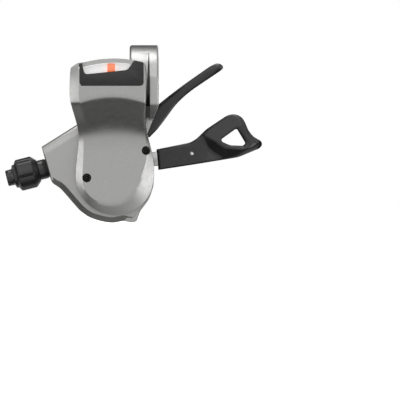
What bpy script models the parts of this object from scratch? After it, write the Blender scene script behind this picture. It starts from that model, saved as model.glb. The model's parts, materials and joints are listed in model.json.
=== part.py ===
"""Trigger shifter for a flat handlebar, as an assembly of separate pieces.

Frame: origin at the centre of the handlebar clamp, +X along the bar towards the grip, +Z up across
the bar, and the display faces -Y. Sizes below are millimetres; meshes are written in metres.
"""

import math

import bmesh
import bpy
import numpy as np
from mathutils import Vector

MM = 0.001
GAP = 0.3  # clearance between separate pieces
SIDES = 28  # sides of a round piece

# Handlebar clamp
BAR_RADIUS = 11.1
CLAMP_RADIUS = 14.6
CLAMP_HALF_WIDTH = 5.8
RIM_LEFT = 2.4  # the clamp's raised rim strip starts here
RIM_FRONT = -15.4
CLAMP_BOLT_Y = 16.4
CLAMP_BOLT_RADIUS = 2.5
EAR_BACK = 20.4
EAR_HALF_HEIGHT = 7.4
SPLIT_HALF_HEIGHT = 1.2
NECK_FRONT = -4.0
NECK_BACK = 15.6
NECK_BOTTOM = -21.2

# Main axle, across which the mechanism is stacked
AXLE_X = -12.0
AXLE_Z = -38.0
AXLE_RADIUS = 2.5

# Stack of levels along Y, from the display side to the back
HEAD_FRONT = -21.5
LOBE_FRONT = -9.0
HOUSING_FRONT = 0.0
HOUSING_WEB = 2.5
FRAME_PLATE = (3.0, 4.5)
DRUM = (5.5, 12.5)
RATCHET = (12.8, 14.6)
HOUSING_BACK = 16.6
RELEASE_PLATE = (17.6, 18.9)
RELEASE_GRIP = (16.9, 19.9)
MAIN_PLATE = (22.6, 24.0)
THUMB_PAD = (21.5, 25.6)
REAR_FLOOR = (26.8, 28.2)

# Front cover
LOBE_X = -11.6
LOBE_Z = -37.6
LOBE_RADIUS = 15.9
HEAD_TOP_RADIUS = 47.1  # about the main axle
COVER_WALL = 1.4
FLAT_X = -13.7
FLAT_Z = -37.6
FLAT_RADIUS = 11.2

# Mechanism
CAVITY_RADIUS = 13.9
DRUM_RADIUS = 10.3
GROOVE_RADIUS = 8.9
RATCHET_RADIUS = 9.0
RATCHET_TEETH = 14
PIN_RADIUS = 1.0
STOP_PAWL_ANGLE = 300.0
STOP_PAWL_ARM = 11.9
FEED_PAWL_ANGLE = 200.0
FEED_PAWL_ARM = 11.9
NEEDLE_TIP_RADIUS = 45.2
NEEDLE_FRONT = (-18.6, -18.0)
SCALE_PLATE = (-17.5, -16.9)
TRAY = (-16.6, -15.5)

# Cable adjuster: its axis leaves the horn's end face at this point, in this direction
HORN_POINT = Vector((-39.1, 9.0, -34.7))
HORN_AXIS = Vector((-0.969, 0.0, -0.247)).normalized()
SCREW_RADIUS = 2.3
CABLE_RADIUS = 1.0
COLLAR_RADIUS = 3.55
BARREL_RADIUS = 6.35
TIP_RADIUS = 3.05

# Levers
PAD_PIN = (19.0, -28.8)
PAD_PIN_RADIUS = 0.65

COVER_SCREWS = {"left": (-22.9, -38.5), "right": (0.84, -27.6)}
BRACKET_SCREWS = {"front": 3.6, "back": 13.6}
BRACKET_SCREW_X = -2.4
FRAME_SCREW_ANGLES = {"left": 128.0, "right": 345.0}
REAR_SCREWS = {"horn": (-29.0, -32.0), "lower": (-12.0, -53.75)}
PORT_POINT = Vector((2.0, 9.0, -24.25))

# Pieces with many crossing cuts, on which the exact solver leaves open edges
CAST_PIECES = {"base_housing", "front_cover", "rear_cover"}

COLOURS = {  # base colour, roughness, metallic
    "silver_paint": ((0.40, 0.40, 0.39), 0.38, 0.75),
    "black_plastic": ((0.02, 0.02, 0.02), 0.45, 0.0),
    "display_black": ((0.03, 0.03, 0.03), 0.25, 0.0),
    "clear_lens": ((0.85, 0.88, 0.88), 0.05, 0.0),
    "white_scale": ((0.85, 0.85, 0.85), 0.5, 0.0),
    "orange_needle": ((1.0, 0.25, 0.08), 0.4, 0.0),
    "steel": ((0.55, 0.55, 0.54), 0.3, 1.0),
    "black_steel": ((0.03, 0.03, 0.03), 0.35, 0.8),
    "bronze": ((0.55, 0.36, 0.16), 0.35, 1.0),
    "drum_plastic": ((0.12, 0.12, 0.13), 0.5, 0.0),
}


# ---------------------------------------------------------------- helpers


def clear_scene():
    for obj in list(bpy.data.objects):
        bpy.data.objects.remove(obj, do_unlink=True)


def material(slot):
    """The Principled material of one colour slot, made once."""
    found = bpy.data.materials.get(slot)
    if found:
        return found
    colour, roughness, metallic = COLOURS[slot]
    made = bpy.data.materials.new(slot)
    made.use_nodes = True
    shader = made.node_tree.nodes["Principled BSDF"]
    shader.inputs["Base Color"].default_value = (*colour, 1.0)
    shader.inputs["Roughness"].default_value = roughness
    shader.inputs["Metallic"].default_value = metallic
    return made


def linked(name, bm, origin=(0.0, 0.0, 0.0)):
    """Write a bmesh in millimetres as an object in metres whose origin is at the given point."""
    bmesh.ops.recalc_face_normals(bm, faces=bm.faces)
    start = Vector(origin)
    for vertex in bm.verts:
        vertex.co = (vertex.co - start) * MM
    mesh = bpy.data.meshes.new(name)
    bm.to_mesh(mesh)
    bm.free()
    obj = bpy.data.objects.new(name, mesh)
    bpy.context.scene.collection.objects.link(obj)
    obj.location = start * MM
    return obj


def piece(name, bm, slot, origin=(0.0, 0.0, 0.0)):
    obj = linked(name, bm, origin)
    obj.data.materials.append(material(slot))
    obj.data.shade_smooth()
    obj.data.set_sharp_from_angle(angle=math.radians(38))
    return obj


def boolean(obj, operation, bm):
    """Add or cut a closed shape, kept as a hidden guide under the piece's name."""
    guide = linked(f"guide_{obj.name}_{len(obj.modifiers)}", bm)
    guide.hide_render = True
    guide.display_type = "WIRE"
    step = obj.modifiers.new(operation.title(), "BOOLEAN")
    step.operation = operation
    step.solver = "MANIFOLD" if obj.name in CAST_PIECES else "EXACT"
    step.object = guide
    return obj


def cut(obj, bm):
    return boolean(obj, "DIFFERENCE", bm)


def join(obj, bm):
    return boolean(obj, "UNION", bm)


def arc(centre, radius, start, end, steps):
    """Points on a circle arc; angles in degrees, anticlockwise from the first axis."""
    angles = [math.radians(start + (end - start) * i / steps) for i in range(steps + 1)]
    return [(centre[0] + radius * math.cos(a), centre[1] + radius * math.sin(a)) for a in angles]


def polar(radius, degrees, centre=(AXLE_X, AXLE_Z)):
    return arc(centre, radius, degrees, degrees, 1)[0]


def placed(a, b, level, along):
    """A point from its two plane coordinates and its level along an axis."""
    return {
        "X": Vector((level, a, b)),
        "Y": Vector((a, level, b)),
        "Z": Vector((a, b, level)),
    }[along]


def bridge(bm, first, second):
    """Faces between two rings of points; a ring of one point is a pole."""
    count = max(len(first), len(second))
    for i in range(count):
        j = (i + 1) % count
        corners = [first[i % len(first)], first[j % len(first)]]
        corners += [second[j % len(second)], second[i % len(second)]]
        bm.faces.new(list(dict.fromkeys(corners)))


def layered(outlines, levels, along="Y"):
    """A solid through same-length outlines, one for each level, with flat ends."""
    bm = bmesh.new()
    rings = [
        [bm.verts.new(placed(a, b, level, along)) for a, b in outline]
        for outline, level in zip(outlines, levels)
    ]
    for first, second in zip(rings, rings[1:]):
        bridge(bm, first, second)
    bm.faces.new(rings[0])
    bm.faces.new(rings[-1])
    return bm


def extruded(outline, near, far, along="Y"):
    return layered([outline, outline], [near, far], along)


def inset(outline, distance):
    """The outline moved inwards by a distance, corner by corner."""
    points = [Vector(p) for p in outline]
    count = len(points)
    doubled = sum(points[i].cross(points[(i + 1) % count]) for i in range(count))
    turn = 1.0 if doubled > 0 else -1.0
    moved = []
    for i, point in enumerate(points):
        before = (point - points[i - 1]).normalized()
        after = (points[(i + 1) % count] - point).normalized()
        normals = [Vector((-edge.y, edge.x)) * turn for edge in (before, after)]
        middle = (normals[0] + normals[1]).normalized()
        reach = distance / max(middle.dot(normals[0]), 0.5)
        moved.append(tuple(point + middle * reach))
    return moved


def chamfered(outline, near, far, chamfer, along="Y"):
    """An extruded outline whose two faces have a chamfer round their edges."""
    small = inset(outline, chamfer)
    levels = [near, near + chamfer, far - chamfer, far]
    return layered([small, outline, outline, small], levels, along)


def block(x, y, z):
    return extruded([(x[0], z[0]), (x[1], z[0]), (x[1], z[1]), (x[0], z[1])], y[0], y[1])


def turned(profile, base, direction, sides=SIDES, closed=False, phase=0.0):
    """Revolve (radius, height) points about an axis; closed joins the last ring to the first."""
    bm = bmesh.new()
    axis = Vector(direction).normalized()
    across = Vector((0.0, 1.0, 0.0)) if abs(axis.y) < 0.9 else Vector((1.0, 0.0, 0.0))
    across = (across - axis * across.dot(axis)).normalized()
    other = axis.cross(across)
    rings = []
    for radius, height in profile:
        centre = Vector(base) + axis * height
        if radius == 0.0:
            rings.append([bm.verts.new(centre)])
            continue
        ring = []
        for i in range(sides):
            angle = 2.0 * math.pi * (i + phase) / sides
            spoke = math.cos(angle) * across + math.sin(angle) * other
            ring.append(bm.verts.new(centre + radius * spoke))
        rings.append(ring)
    for first, second in zip(rings, rings[1:]):
        bridge(bm, first, second)
    if closed:
        bridge(bm, rings[-1], rings[0])
    return bm


def rod(centre, radius, near, far, sides=SIDES):
    """A plain cylinder along Y about a point of the XZ plane."""
    profile = [(0.0, near), (radius, near), (radius, far), (0.0, far)]
    return turned(profile, (centre[0], 0.0, centre[1]), (0, 1, 0), sides)


def tube(centre, inner, outer, near, far, sides=SIDES):
    profile = [(inner, near), (outer, near), (outer, far), (inner, far)]
    return turned(profile, (centre[0], 0.0, centre[1]), (0, 1, 0), sides, closed=True)


def coil(centre, radius, wire, turns, near, pitch, per_turn=12, sides=5):
    """A helical spring about an axis along Y, with flat wire ends."""
    bm = bmesh.new()
    rings = []
    for step in range(int(turns * per_turn) + 1):
        angle = 2.0 * math.pi * step / per_turn
        out = Vector((math.cos(angle), 0.0, math.sin(angle)))
        level = near + pitch * step / per_turn
        middle = Vector((centre[0], level, centre[1])) + out * radius
        ring = []
        for i in range(sides):
            spoke = 2.0 * math.pi * i / sides
            offset = wire * (math.cos(spoke) * out + math.sin(spoke) * Vector((0.0, 1.0, 0.0)))
            ring.append(bm.verts.new(middle + offset))
        rings.append(ring)
    for first, second in zip(rings, rings[1:]):
        bridge(bm, first, second)
    bm.faces.new(rings[0])
    bm.faces.new(rings[-1])
    return bm


AXLE = (AXLE_X, AXLE_Z)
AXLE_ORIGIN = (AXLE_X, 0.0, AXLE_Z)


# ---------------------------------------------------------------- clamp


def clamp_side_profile(front):
    """The clamp seen along the bar: a circle, with its front flattened at the given level."""
    if front is None:
        return arc((0.0, 0.0), CLAMP_RADIUS, 0, 360, 47)[:-1]
    flat = [(front, 3.0), (front, -9.0), (-11.3, -15.0), (NECK_FRONT, -15.6)]
    return arc((0.0, 0.0), CLAMP_RADIUS, -60, 158, 30) + flat


def clamp_groove():
    """The dark wedge beside the rim strip, deepening from a point near the top to the neck."""
    bm = bmesh.new()
    rings = []
    for angle in range(122, 245, 8):
        share = (angle - 122) / 122.0
        reach = [(1.9 - 0.75 * share, 13.1), (2.0 + 0.4 * share, 13.1)]
        reach += [(x, 18.5) for x, _ in reversed(reach)]
        turn = math.radians(angle)
        rings.append([bm.verts.new((x, r * math.cos(turn), r * math.sin(turn))) for x, r in reach])
    for first, second in zip(rings, rings[1:]):
        bridge(bm, first, second)
    bm.faces.new(rings[0])
    bm.faces.new(rings[-1])
    return bm


def clamp_bracket():
    """Band round the handlebar, with two ears behind and the neck that carries the housing."""
    band = extruded(clamp_side_profile(None), -CLAMP_HALF_WIDTH, RIM_LEFT, "X")
    obj = piece("clamp_bracket", band, "silver_paint")
    join(obj, extruded(clamp_side_profile(RIM_FRONT), RIM_LEFT - 0.4, CLAMP_HALF_WIDTH, "X"))
    neck = [(NECK_FRONT, -12.5), (NECK_FRONT, NECK_BOTTOM), (NECK_BACK, NECK_BOTTOM)]
    neck += [(NECK_BACK, -10.0), (12.9, -5.0), (6.0, -12.5)]
    join(obj, extruded(neck, -CLAMP_HALF_WIDTH + 0.1, CLAMP_HALF_WIDTH - 0.1, "X"))
    corner = 3.0
    ears = [(11.5, -EAR_HALF_HEIGHT)]
    ears += arc((EAR_BACK - corner, corner - EAR_HALF_HEIGHT), corner, -90, 0, 4)
    ears += arc((EAR_BACK - corner, EAR_HALF_HEIGHT - corner), corner, 0, 90, 4)
    ears += [(11.5, EAR_HALF_HEIGHT)]
    join(obj, extruded(ears, -5.4, 5.4, "X"))
    cut(obj, turned([(0, -9), (BAR_RADIUS, -9), (BAR_RADIUS, 9), (0, 9)], (0, 0, 0), (1, 0, 0), 48))
    cut(obj, block((-9, 9), (9.0, 24.0), (-SPLIT_HALF_HEIGHT, SPLIT_HALF_HEIGHT)))
    hole = CLAMP_BOLT_RADIUS + GAP
    cut(obj, turned([(0, -12), (hole, -12), (hole, 12), (0, 12)], (0, CLAMP_BOLT_Y, 0), (0, 0, 1)))
    cut(obj, extruded([(5.9, -9.4), (1.0, -21.3), (1.0, -30), (12, -30), (12, -9.4)], -20, 30))
    cut(obj, clamp_groove())
    for level in BRACKET_SCREWS.values():
        bore = [(0, 0), (1.6, 0), (1.6, 7.3), (0, 7.3)]
        cut(obj, turned(bore, (BRACKET_SCREW_X, level, NECK_BOTTOM - 1.0), (0, 0, 1), 14))


def socket_screw(name, base, direction, head, shank, head_height, length, slot="black_steel"):
    """Cap screw: the base is the underside of the head, the direction points out of the head."""
    socket = head * 0.5
    profile = [(0, -length), (shank, -length), (shank, 0), (head, 0), (head, head_height * 0.85)]
    profile += [(head * 0.88, head_height), (socket, head_height), (socket, head_height * 0.4)]
    profile += [(0, head_height * 0.4)]
    return piece(name, turned(profile, base, direction, 18 if head > 3.0 else 12), slot)


def clamp_screws():
    socket_screw("clamp_bolt", (0, CLAMP_BOLT_Y, EAR_HALF_HEIGHT + GAP), (0, 0, 1), 4.0, 2.5, 4.6, 14.0)
    for name, level in BRACKET_SCREWS.items():
        base = (BRACKET_SCREW_X, level, -25.4)
        socket_screw(f"bracket_screw_{name}", base, (0, 0, -1), 1.75, 1.3, 1.6, 10.2, "steel")


# ---------------------------------------------------------------- housing


def housing_outlines():
    """Front and full outline of the base housing; the front one is inset along top and bottom."""
    full = [(-9.0, -17.3), (-27.1, -17.3), (-41.1, -26.1), (-37.5, -38.9), (-36.6, -40.7)]
    full += [(-33.6, -42.7), (-28.7, -48.2), (-25.6, -51.6), (-22.3, -54.0), (-19.0, -55.3)]
    full += [(-15.3, -56.2), (-12.0, -56.4), (-8.5, -55.6), (-4.7, -56.4), (-2.9, -55.6)]
    full += [(-1.5, -51.6), (0.1, -49.4), (1.9, -46.6), (3.6, -42.2), (3.9, -39.0), (3.7, -35.5)]
    full += [(2.9, -29.4), (1.6, -24.3), (0.9, -21.5), (-7.5, -21.5)]
    front = inset(full, 2.1)
    front[0] = full[0]
    front[1] = (full[1][0], full[1][1] - 3.0)
    front[2] = (-40.3, -29.2)
    front[3] = (-37.9, -37.6)
    for i in range(len(full) - 11, len(full)):
        front[i] = tuple((Vector(full[i]) * 3 + Vector(front[i])) / 4)
    front[-1] = full[-1]
    return front, full


def base_housing():
    """Cast body: walls round the drum, a front web, and the horn that takes the adjuster."""
    front, full = housing_outlines()
    levels = [HOUSING_FRONT, HOUSING_FRONT + 2.6, HOUSING_BACK]
    obj = piece("base_housing", layered([front, full, full], levels), "silver_paint")
    cut(obj, rod(AXLE, CAVITY_RADIUS, HOUSING_WEB, 30, 40))
    cut(obj, rod(AXLE, 8.8, -5, 5, 32))
    bore = [(0, 1), (COLLAR_RADIUS + GAP, 1), (COLLAR_RADIUS + GAP, -5.2), (SCREW_RADIUS + GAP, -5.2)]
    bore += [(SCREW_RADIUS + GAP, -22), (0, -22)]
    cut(obj, turned(bore, HORN_POINT, HORN_AXIS, 24))
    port = [(0, 3), (2.2 + GAP, 3), (2.2 + GAP, -3.2), (1.1, -3.2), (1.1, -12), (0, -12)]
    cut(obj, turned(port, PORT_POINT, -HORN_AXIS, 16))
    for level in BRACKET_SCREWS.values():
        pocket = [(0, -6), (2.1, -6), (2.1, 0), (1.6, 0), (1.6, 6), (0, 6)]
        cut(obj, turned(pocket, (BRACKET_SCREW_X, level, -25.1), (0, 0, 1), 14))
    for centre in COVER_SCREWS.values():
        cut(obj, rod(centre, 1.2, -3, 6 if centre[0] > 0 else 3, 12))
    for centre in REAR_SCREWS.values():
        cut(obj, rod(centre, 1.3, 8, 20, 12))
    for angle in FRAME_SCREW_ANGLES.values():
        cut(obj, rod(polar(12.0, angle), 1.1, -1, 5, 12))


def cable_port_cap():
    profile = [(0, -2.8), (2.0, -2.8), (2.0, -0.8), (1.7, -0.4), (0.9, -0.4), (0.9, -1.3), (0, -1.3)]
    piece("cable_port_cap", turned(profile, PORT_POINT, -HORN_AXIS, 16), "black_plastic")


def rear_cover():
    """Bottom shell behind the levers, open on the right where they swing out."""
    outer = arc(AXLE, 16.0, 90, 150, 6)
    outer += [(-28.2, -26.4), (-32.6, -28.6), (-33.4, -34.6), (-30.6, -38.0)]
    outer += arc(AXLE, 16.9, 190, 275, 8)
    outer += arc(AXLE, 15.3, 300, 440, 13)
    start = HOUSING_BACK + GAP
    obj = piece("rear_cover", chamfered(outer, start, REAR_FLOOR[1], 0.8), "silver_paint")
    cut(obj, rod(AXLE, 13.9, 10, REAR_FLOOR[0], 40))
    join(obj, rod(REAR_SCREWS["lower"], 2.1, start, REAR_FLOOR[1], 16))
    opening = [polar(3.0, 40)] + arc(AXLE, 24.0, -22, 98, 10)
    cut(obj, extruded(opening, 10, REAR_FLOOR[0]))
    cut(obj, rod(AXLE, AXLE_RADIUS + GAP, 20, 34, 20))
    for centre in REAR_SCREWS.values():
        cut(obj, rod(centre, 1.2, 10, 34, 12))
        cut(obj, rod(centre, 1.75, REAR_FLOOR[1] - 1.8, 34, 14))


def rear_screws():
    for name, centre in REAR_SCREWS.items():
        base = (centre[0], REAR_FLOOR[1] - 1.5, centre[1])
        socket_screw(f"rear_screw_{name}", base, (0, 1, 0), 1.45, 0.9, 1.3, 15.0)


def frame_plate():
    """Steel plate under the housing's web; the axle and the stop pawl's pin stand in it."""
    obj = piece("frame_plate", extruded(arc(AXLE, 13.1, 0, 360, 36)[:-1], *FRAME_PLATE), "steel")
    cut(obj, rod(AXLE, AXLE_RADIUS + GAP, 0, 8, 20))
    cut(obj, rod(polar(STOP_PAWL_ARM, STOP_PAWL_ANGLE), PIN_RADIUS + GAP, 0, 8, 12))
    cut(obj, rod((COVER_SCREWS["left"][0], COVER_SCREWS["left"][1]), 1.3, 0, 8, 12))
    for angle in FRAME_SCREW_ANGLES.values():
        cut(obj, rod(polar(12.0, angle), 1.1, 0, 8, 12))
    for name, angle in FRAME_SCREW_ANGLES.items():
        x, z = polar(12.0, angle)
        base = (x, FRAME_PLATE[1] + GAP, z)
        socket_screw(f"frame_screw_{name}", base, (0, 1, 0), 1.35, 0.8, 0.6, 4.0, "steel")


# ---------------------------------------------------------------- front cover and display


# The hollow slope from the head's lower edge down to the lobe, as (height, distance behind the head)
SLOPE = [(-8.5, 0.0), (-9.6, 0.9), (-12.6, 3.9), (-15.6, 6.9), (-18.2, 9.2), (-20.6, 10.9), (-23.0, 12.0)]
SLOPE += [(-25.6, LOBE_FRONT - HEAD_FRONT)]
SLOPE_ARCH = 2.4  # the slope's middle starts this much higher than its ends


def cover_rows():
    """Rows of the cover from top to bottom: height, front level, arch and end weight."""
    rows = [(5.6, HEAD_FRONT, 0.0, 1.0), (2.0, HEAD_FRONT, 0.2, 0.5), (-3.0, HEAD_FRONT, 0.9, 0.1)]
    for i, (height, behind) in enumerate(SLOPE):
        rows.append((height, HEAD_FRONT + behind, SLOPE_ARCH * (1.0 - i / len(SLOPE)), 0.0))
    for height, weight in ((-29, 0), (-32.5, 0.04), (-36, 0.14), (-40, 0.42), (-44.1, 1)):
        rows.append((height, LOBE_FRONT, 0.0, weight))
    return rows


def along_edge(place, points):
    """A value at a place along an edge, straight between the few points that shape it."""
    return float(np.interp(place, [p[0] for p in points], [p[1] for p in points]))


# Edges of the cover as (height, X), and the bevel's and rim's levels as (height, distance)
OUTER_LEFT = [(-44.1, -26.1), (-40, -27.3), (-36, -27.35), (-30, -26.8), (-24, -26.1), (-20, -26.3)]
OUTER_LEFT += [(-17, -26.9), (-12.5, -28.2), (-8.5, -29.3), (5.6, -29.4)]
OUTER_RIGHT = [(-44.1, 2.9), (-39.6, 4.0), (-35.5, 4.3), (-29.4, 3.5), (-24.3, 2.2), (-21.8, 1.5)]
OUTER_RIGHT += [(-17.5, 0.8), (-14.6, 0.5), (-8.5, 0.8), (7.1, 1.0)]
FLAT_LEFT = [(-44.1, -22.8), (-38, -24.2), (-32, -24.1), (-24, -24.1), (-18, -23.4), (-15, -23.6)]
FLAT_LEFT += [(-12, -24.6), (-8.5, -25.6), (5.6, -25.6)]
FLAT_RIGHT = [(-44.1, -4.6), (-39.4, -2.7), (-34.4, -0.7), (-29.9, 0.9), (-25, 0.9), (-18, 0.0)]
FLAT_RIGHT += [(-14.6, -0.3), (-8.5, 0.3), (7.1, 0.6)]
RIGHT_DROP = [(-44.1, 3.9), (-36, 3.9), (-30, 3.0), (-20, 1.6), (-8.5, 0.5), (5.6, 0.5)]
RIGHT_RIM = [(-25.5, -0.3), (-22.2, -4.6), (-17, -4.6), (-14.2, -6.4), (-11.9, -10.2), (-10, -12.1)]
RIGHT_RIM += [(-8.5, -13.2), (-3, -15.3), (5.6, -15.3)]
LEFT_RIM = [(-17, -0.3), (5.6, -12.0)]
LEFT_DROP = [(-44.1, 3.0), (-36, 2.5), (-28, 1.8), (-20, 1.8), (-14, 2.2), (-8.5, 2.6), (0, 2.5)]
LEFT_DROP += [(2, 1.9), (4, 1.0), (5.6, 0.8)]
BOTTOM_DROP = [(0.0, 3.9), (0.33, 2.1), (0.67, 2.1), (1.0, 3.0)]  # from right to left
COLUMNS = 10


def head_top(x, radius):
    """Height of the head's arched top, which is centred on the main axle."""
    return AXLE_Z + math.sqrt(radius**2 - (x - AXLE_X) ** 2)


def cover_grid(rows):
    """The flat area of the cover as rows of points, bulged at its ends towards the two arcs."""
    bottom = arc((FLAT_X, FLAT_Z), FLAT_RADIUS, 215, 325, COLUMNS)
    grid = []
    for height, level, arch, weight in rows:
        left = along_edge(height, FLAT_LEFT)
        right = along_edge(height, FLAT_RIGHT)
        line = []
        for j in range(COLUMNS + 1):
            share = j / COLUMNS
            x = left + (right - left) * share
            z = height + 4.0 * arch * share * (1.0 - share)
            if height > 0.0:
                z += weight * (head_top(x, HEAD_TOP_RADIUS - 0.5) - 5.6)
            elif height < -30.0:
                x += weight * (bottom[j][0] - (bottom[0][0] + (bottom[-1][0] - bottom[0][0]) * share))
                z += weight * (bottom[j][1] - bottom[0][1])
            line.append((x, level, z))
        grid.append(line)
    return grid


def cover_border(rows):
    """Round the flat area: outline point, level of the bevel's foot and level of the rim."""
    top = []
    for j in range(COLUMNS + 1):
        x = [-29.4, -26.6][j] if j < 2 else -24.0 + 25.0 * (j - 2) / (COLUMNS - 2)
        z = [5.3, 7.3][j] if j < 2 else head_top(x, HEAD_TOP_RADIUS)
        rim = -12.0 - 3.3 * min(1.0, j / (COLUMNS * 0.7))
        top.append((x, z, HEAD_FRONT + (0.8 if j == 0 else 0.6), rim))
    right = []
    for height, level, _, _ in rows[1:-1]:
        drop = along_edge(height, RIGHT_DROP)
        right.append((along_edge(height, OUTER_RIGHT), height, level + drop, along_edge(height, RIGHT_RIM)))
    bottom = []
    for j, (x, z) in enumerate(arc((LOBE_X, LOBE_Z), LOBE_RADIUS, 336, 204, COLUMNS)):
        bottom.append((x, z, LOBE_FRONT + along_edge(j / COLUMNS, BOTTOM_DROP), -GAP))
    left = []
    for height, level, _, _ in reversed(rows[1:-1]):
        foot = level + along_edge(height, LEFT_DROP)
        left.append((along_edge(height, OUTER_LEFT), height, foot, along_edge(height, LEFT_RIM)))
    return top + right + bottom + left


def cover_skin():
    """Front cover as an open skin: flat area, bevel, side wall."""
    rows = cover_rows()
    bm = bmesh.new()
    grid = [[bm.verts.new(p) for p in line] for line in cover_grid(rows)]
    for upper, lower in zip(grid, grid[1:]):
        for j in range(COLUMNS):
            bm.faces.new((upper[j], upper[j + 1], lower[j + 1], lower[j]))
    edge = grid[0] + [line[-1] for line in grid[1:-1]]
    edge += grid[-1][::-1] + [line[0] for line in grid[-2:0:-1]]
    border = cover_border(rows)
    foot = [bm.verts.new((x, level, z)) for x, z, level, _ in border]
    rim = [bm.verts.new((x, level, z)) for x, z, _, level in border]
    bridge(bm, edge, foot)
    bridge(bm, foot, rim)
    return bm


def front_cover():
    obj = piece("front_cover", cover_skin(), "silver_paint")
    shell = obj.modifiers.new("Wall", "SOLIDIFY")
    shell.thickness = COVER_WALL * MM
    shell.offset = -1.0
    shell.use_even_offset = True
    for centre in COVER_SCREWS.values():
        right = centre[0] > 0.0
        join(obj, rod(centre, 2.0, LOBE_FRONT + (0.15 if right else 1.6), -0.4, 20))
    for centre in COVER_SCREWS.values():
        cut(obj, rod(centre, 1.7, -14, LOBE_FRONT + 1.6, 20))
        cut(obj, rod(centre, 1.2, -10, 2, 12))
    cut(obj, block((-26.1, 0.0), (-30, HEAD_FRONT + 2.6), (-1.9, 14.0)))


def cover_screws():
    for name, (x, z) in COVER_SCREWS.items():
        base = (x, LOBE_FRONT + 1.3, z)
        socket_screw(f"cover_screw_{name}", base, (0, -1, 0), 1.4, 0.9, 1.1, 9.7)


def head_outline(left, right, bottom, radius, corner=0.0, steps=8):
    """Outline of a piece in the head, with the arched top and two round lower corners."""
    low = [(left, bottom), (right, bottom)]
    if corner:
        low = arc((left + corner, bottom + corner), corner, 180, 270, 4)
        low += arc((right - corner, bottom + corner), corner, 270, 360, 4)
    span = [right + (left - right) * i / steps for i in range(steps + 1)]
    return low + [(x, head_top(x, radius)) for x in span]


WINDOW = [(-29.3, 20.0), (-23.6, 2.8), (-6.4, 4.5), (-3.9, 8.6), (-3.9, 20.0)]


def display():
    """Bezel, clear window, scale and the tray behind them."""
    front = HEAD_FRONT - 0.1
    outline = head_outline(-25.8, -0.3, -1.6, HEAD_TOP_RADIUS - 0.2, 1.3)
    obj = piece("display_bezel", chamfered(outline, front, front + 2.3, 0.15), "display_black")
    cut(obj, extruded(WINDOW, -30, 0))
    top = [(x, head_top(x, HEAD_TOP_RADIUS - 0.1)) for x in np.linspace(-4.2, -24.6, 9).tolist()]
    lens = [(-23.3, 3.13), (-6.56, 4.79)] + top
    piece("window_lens", chamfered(lens, front + 0.05, front + 1.9, 0.12), "clear_lens")
    plate = head_outline(-27.2, -0.9, -1.5, HEAD_TOP_RADIUS - COVER_WALL - 0.5, 0.0, 10)
    piece("scale_plate", extruded(plate, *SCALE_PLATE), "white_scale")
    piece("indicator_tray", extruded(plate, *TRAY), "black_plastic")
    foot = [(-25.0, -0.2), (-6.4, -0.2), (-6.4, 1.0), (-25.0, 1.0)]
    head = [(-27.2, -11.4), (-6.4, -11.4), (-6.4, -10.2), (-27.2, -10.2)]
    piece("hood_back_plate", layered([foot, head], [-16.9, 3.6], "Z"), "black_plastic")


def indicator_needle():
    """Orange needle on a cranked arm that swings about the main axle."""
    arm = [(-2.0, -30.5), (-2.0, -20.0), (-5.5, -13.0), (-9.0, -8.5), (-14.2, -5.2), (-18.3, -4.0)]
    tip = AXLE_Z + NEEDLE_TIP_RADIUS
    front = [(y - 0.6, z) for y, z in arm[:-1]] + [(NEEDLE_FRONT[0], -4.6), (NEEDLE_FRONT[0], tip)]
    back = [(NEEDLE_FRONT[1], tip), (NEEDLE_FRONT[1], -3.4)] + [(y + 0.6, z + 0.2) for y, z in arm[-2::-1]]
    profile = front + [(NEEDLE_FRONT[1], tip)] + back[1:]
    side = extruded(profile, -14.2, -12.2, "X")
    obj = piece("indicator_needle", side, "orange_needle", AXLE_ORIGIN)
    crank = [(-2.6, -29.5), (-1.4, -29.5), (2.2, -32.6), (2.2, -36.0), (1.0, -36.0), (1.0, -33.0)]
    crank += [(-2.6, -31.2)]
    join(obj, extruded(crank, -14.0, -11.2, "X"))
    join(obj, rod(AXLE, 4.5, 1.0, 2.2, 20))
    wide = [(-14.6, 2.0), (-11.6, 2.0), (-11.6, tip - 0.05), (-14.6, tip - 0.05)]
    join(obj, extruded(wide, NEEDLE_FRONT[0] - 0.02, NEEDLE_FRONT[1] + 0.02))
    cut(obj, rod(AXLE, AXLE_RADIUS + GAP, -5, 8, 20))


# ---------------------------------------------------------------- axle stack


def axle_parts():
    profile = [(0, -2.6), (2.2, -2.6), (AXLE_RADIUS, -2.3), (AXLE_RADIUS, REAR_FLOOR[1] + GAP)]
    profile += [(4.2, REAR_FLOOR[1] + GAP), (4.2, 29.3), (3.8, 29.7), (1.7, 29.7), (1.7, 28.9), (0, 28.9)]
    piece("main_axle", turned(profile, AXLE_ORIGIN, (0, 1, 0), 20), "steel")
    hole = AXLE_RADIUS + 0.2
    nut = [(hole, -2.9), (3.9, -2.9), (4.2, -2.6), (4.2, -0.8), (hole, -0.8)]
    piece("axle_nut", turned(nut, AXLE_ORIGIN, (0, 1, 0), 6, closed=True), "steel")
    cut(bpy.data.objects["axle_nut"], rod(AXLE, hole, -6, 3, 20))
    piece("axle_washer", tube(AXLE, AXLE_RADIUS + GAP, 4.6, -0.5, 0.4, 24), "steel")
    piece("drum_bush", tube(AXLE, AXLE_RADIUS + GAP, 3.6, 4.8, 15.0, 24), "bronze")


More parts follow.
